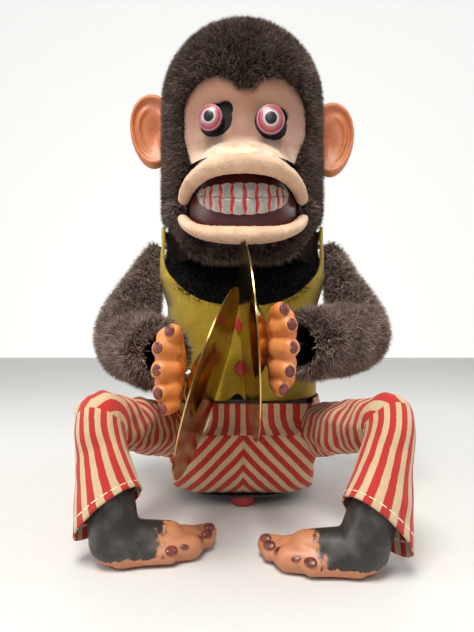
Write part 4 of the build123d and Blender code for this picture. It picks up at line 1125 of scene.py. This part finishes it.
def seat_surface(u, v):
    """Cloth of the seat: round behind, with a lap that juts forward; below z = 6.2 it turns in."""
    turn = u / 44.0
    z = np.maximum(v, 6.2)
    side = np.interp(z, SIDE_Z, SIDE_R)
    front = np.interp(z, LAP_Z, LAP_Y)
    x_share = np.abs(np.sin(turn)) * side
    lap = np.where(np.cos(turn) > 0, np.clip((40 - x_share) / 16, 0, 1), 0)
    lap = lap * lap * (3 - 2 * lap)
    r = side * (1 - lap) + np.minimum(front / np.maximum(np.cos(turn), 0.72), side + 12) * lap
    r = r - np.clip(6.2 - v, 0, None)
    return np.stack([r * np.sin(turn), SEAT_Y - r * np.cos(turn), z], axis=1)


def make_seat(cotton):
    us = np.linspace(-pi * 44, pi * 44, 220, endpoint=False)
    vs = np.concatenate([[3.2, 4.2, 5.2], np.arange(6.2, 50.7, 0.7)])
    points, faces, u, v = trimmed(seat_surface, us, vs, lambda a, b: np.ones(len(a)), wrap=True)
    out = unit(points - (0, SEAT_Y, 26))
    free = np.clip((v - 8) / 8, 0, 1) * np.clip((50 - v) / 5, 0, 1)
    sag = 0.8 * ripple(points * (1, 1, 0.7), 17.0, 81) + 0.3 * ripple(points, 7.0, 83)
    middle = -1.6 * np.exp(-(points[:, 0] / 1.6) ** 2) * (points[:, 1] < 0) * (v < RIDGE_Z)
    points = points + out * ((sag + middle) * free)[:, None]
    x = points[:, 0]
    up = np.stack([u, v + 20], axis=1)
    slant = np.stack([(np.abs(x) + (v - RIDGE_Z) * 0.95) * 0.74 + 40, v + 20], axis=1)
    corner = faces.ravel()
    wrapped = (corner.reshape(-1, 4) % 220 == 0) & (faces[:, :1] % 220 == 219)
    shift = np.stack([2 * pi * 44 * wrapped.ravel(), np.zeros(len(corner))], axis=1)
    below = (v[faces].mean(axis=1) < RIDGE_Z) & (points[faces][:, :, 1].mean(axis=1) < -24)
    pattern = np.where(np.repeat(below, 4)[:, None], slant[corner], up[corner] + shift)
    seat = mesh_piece("seat_cloth", points, [faces], [cotton], None, pattern, "body")
    thick = seat.modifiers.new("cotton", "SOLIDIFY")
    thick.thickness, thick.offset = 0.7 * MM, -1.0
    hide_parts("trousers_seat")


# ---------------------------------------------------------------- feet
def make_foot(side, paint, nail):
    s = SIDES[side]
    leg = LEGS[side]
    flip = np.array([s, 1, 1])
    heel, toe = np.array((*leg["heel"], 0.0)), np.array((*leg["toe"], 0.0))
    along = unit(toe - heel)
    near = np.array([along[1], -along[0], 0]) * (1 if along[0] < 0 else -1)
    near = near if near[1] < 0 else -near
    length = np.linalg.norm(toe - heel)

    def at(u, v, z):
        return heel + along * u + near * v + (0, 0, z)

    cuff = np.array(leg["cuff"], float)
    ankle = np.array([cuff[0] * 0.8 + heel[0] * 0.2, cuff[1], cuff[2] - 2])
    balls = chain(at(0, 0, 9.4), tuple(ankle), 9.4, 9.0, 2.0)
    balls += chain(at(3, 0.5, 8), at(20, 0, 6.6), 8.2, 6.6, 1.5)
    for v in (-4.5, 0.5, 5.0):
        balls += chain(at(2, v * 0.8, 5.0), at(length - 13, v, 4.6), 5.0, 4.7)
    balls += chain(at(14, 0, 6.4), at(length - 12, -1, 5.4), 5.8, 4.8)
    toes = [(length - 3.4, -5.2, 3.9), (length - 5.6, -0.4, 3.6), (length - 10.2, 3.4, 3.4),
            (length - 15.6, 6.2, 3.3), (length - 21.2, 8.2, 3.1)]
    for u, v, r in toes:
        balls += chain(at(u - 9, v * 0.75, r + 0.8), at(u, v, r + 0.7), r, r)
    balls = [(np.asarray(c) * flip, r) for c, r in balls]
    points, faces = skin_round(f"foot_{side}", balls, 0.8, 3)
    points[:, 2] = np.maximum(points[:, 2], 0.25 + 0.02 * points[:, 2])
    home = (points * flip - heel) @ along
    across = (points * flip - heel) @ near
    slant = (length - home) - 0.55 * np.clip(across + 4, 0, 12)
    pattern = np.stack([slant, points[:, 2]], axis=1)
    parts = [(points, faces)]
    for u, v, r in toes:
        way = unit(along * 0.15 + near * 0.55 + np.array([0, 0, 0.75]))
        tip = at(u - 0.4, v, r + 0.7) + way * (r + 0.15)
        parts.append(nail_shape(tip * flip, way * flip, (2.4, 1.8, 0.7)))
    extra = sum(len(p) for p, _ in parts[1:])
    pattern = np.concatenate([pattern, np.zeros((extra, 2))])
    points, faces, index = joined(parts)
    foot = mesh_piece(f"foot_vinyl_{side}", points, [faces], [paint, nail], (index > 0).astype(int),
                      pattern, "body")
    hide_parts(f"foot_{side}")


# ---------------------------------------------------------------- materials of the CAD parts
def cad_materials():
    """A procedural material for each slot, given to every CAD node that stays."""
    made = {
        "red_rubber": mottled("rubber_red", (0.30, 0.02, 0.015), (0.42, 0.04, 0.03), 0.6, 120, 900, 0.2),
        "grey_tin": worn_metal("tin_grey", (0.20, 0.20, 0.20), (0.42, 0.42, 0.41), 0.4),
        "base_tin": mottled("tin_black", (0.02, 0.02, 0.022), (0.06, 0.06, 0.062), 0.4, 80, 800, 0.1,
                            Metallic=0.5),
        "red_plastic": mottled("button_red", (0.42, 0.012, 0.012), (0.58, 0.03, 0.03), 0.22, 90, 700, 0.03),
        "maroon": mottled("mouth_maroon", (0.070, 0.011, 0.012), (0.115, 0.02, 0.02), 0.38, 60, 800, 0.08),
        "brass": worn_metal("brass_worn", (0.25, 0.13, 0.045), (0.66, 0.43, 0.17), 0.17, 45.0),
        "steel": worn_metal("steel_plain", (0.25, 0.25, 0.25), (0.55, 0.55, 0.54), 0.3),
        "spring_steel": worn_metal("steel_blued", (0.10, 0.11, 0.14), (0.28, 0.30, 0.36), 0.3),
        "gear_brass": worn_metal("brass_gear", (0.40, 0.27, 0.10), (0.72, 0.53, 0.24), 0.3),
        "zinc_plate": worn_metal("zinc_plated", (0.36, 0.36, 0.35), (0.62, 0.62, 0.60), 0.35),
    }
    for part in frame["record"]["subparts"]:
        piece = frame["nodes"][part["node"]]
        material = made.get(part["material_slot"])
        if material is not None and not piece.hide_render:
            piece.data.materials.clear()
            piece.data.materials.append(material)


# ---------------------------------------------------------------- build
make_camera()
make_stage()

roots = tone_set("fur_root", [(0.030, 0.019, 0.015), (0.048, 0.031, 0.025), (0.070, 0.047, 0.038)])
head_tips = tone_set("fur_tip", [(0.060, 0.040, 0.032), (0.10, 0.068, 0.055), (0.15, 0.104, 0.085),
                                 (0.22, 0.156, 0.13), (0.33, 0.245, 0.205)])
arm_roots = tone_set("arm_root", [(0.06, 0.04, 0.033), (0.10, 0.068, 0.056), (0.14, 0.098, 0.08)])
arm_tips = tone_set("arm_tip", [(0.15, 0.105, 0.087), (0.23, 0.165, 0.138), (0.33, 0.243, 0.205),
                                (0.45, 0.34, 0.29), (0.60, 0.48, 0.42)])
black_roots = tone_set("black_root", [(0.004, 0.004, 0.004), (0.008, 0.007, 0.007)])
black_tips = tone_set("black_tip", [(0.006, 0.006, 0.006), (0.012, 0.011, 0.011), (0.026, 0.024, 0.024)])

make_head((roots, head_tips))
make_face()
make_sockets()
ring_paint = eye_paint()
tube_black = mottled("eye_tube", (0.010, 0.008, 0.008), (0.025, 0.02, 0.02), 0.4, 120, 900, 0.1)
for side in SIDES:
    make_eye(side, ring_paint, tube_black)
make_lips()
make_lining()
make_teeth()

ear_vinyl = mottled("ear_vinyl", (0.46, 0.135, 0.048), (0.60, 0.21, 0.085), 0.42, 45, 500, 0.06,
                    Subsurface_Weight=0.15, Subsurface_Radius=(0.004, 0.0015, 0.0008), Subsurface_Scale=1.0)
hand_vinyl = mottled("hand_vinyl", (0.62, 0.19, 0.045), (0.78, 0.31, 0.10), 0.4, 60, 500, 0.08,
                     Subsurface_Weight=0.15, Subsurface_Radius=(0.004, 0.0015, 0.0008), Subsurface_Scale=1.0)
nail_brown = mottled("nail_brown", (0.085, 0.016, 0.014), (0.24, 0.062, 0.05), 0.3, 400, 900, 0.1)
cotton = striped_cotton()
sole_paint = foot_paint()

make_vest()
make_torso((black_roots, black_tips))
make_seat(cotton)
for side in SIDES:
    make_ear(side, ear_vinyl)
    make_sleeve(side, (arm_roots, arm_tips))
    make_hand(side, hand_vinyl, nail_brown)
    make_leg(side, cotton)
    make_foot(side, sole_paint, nail_brown)
cad_materials()
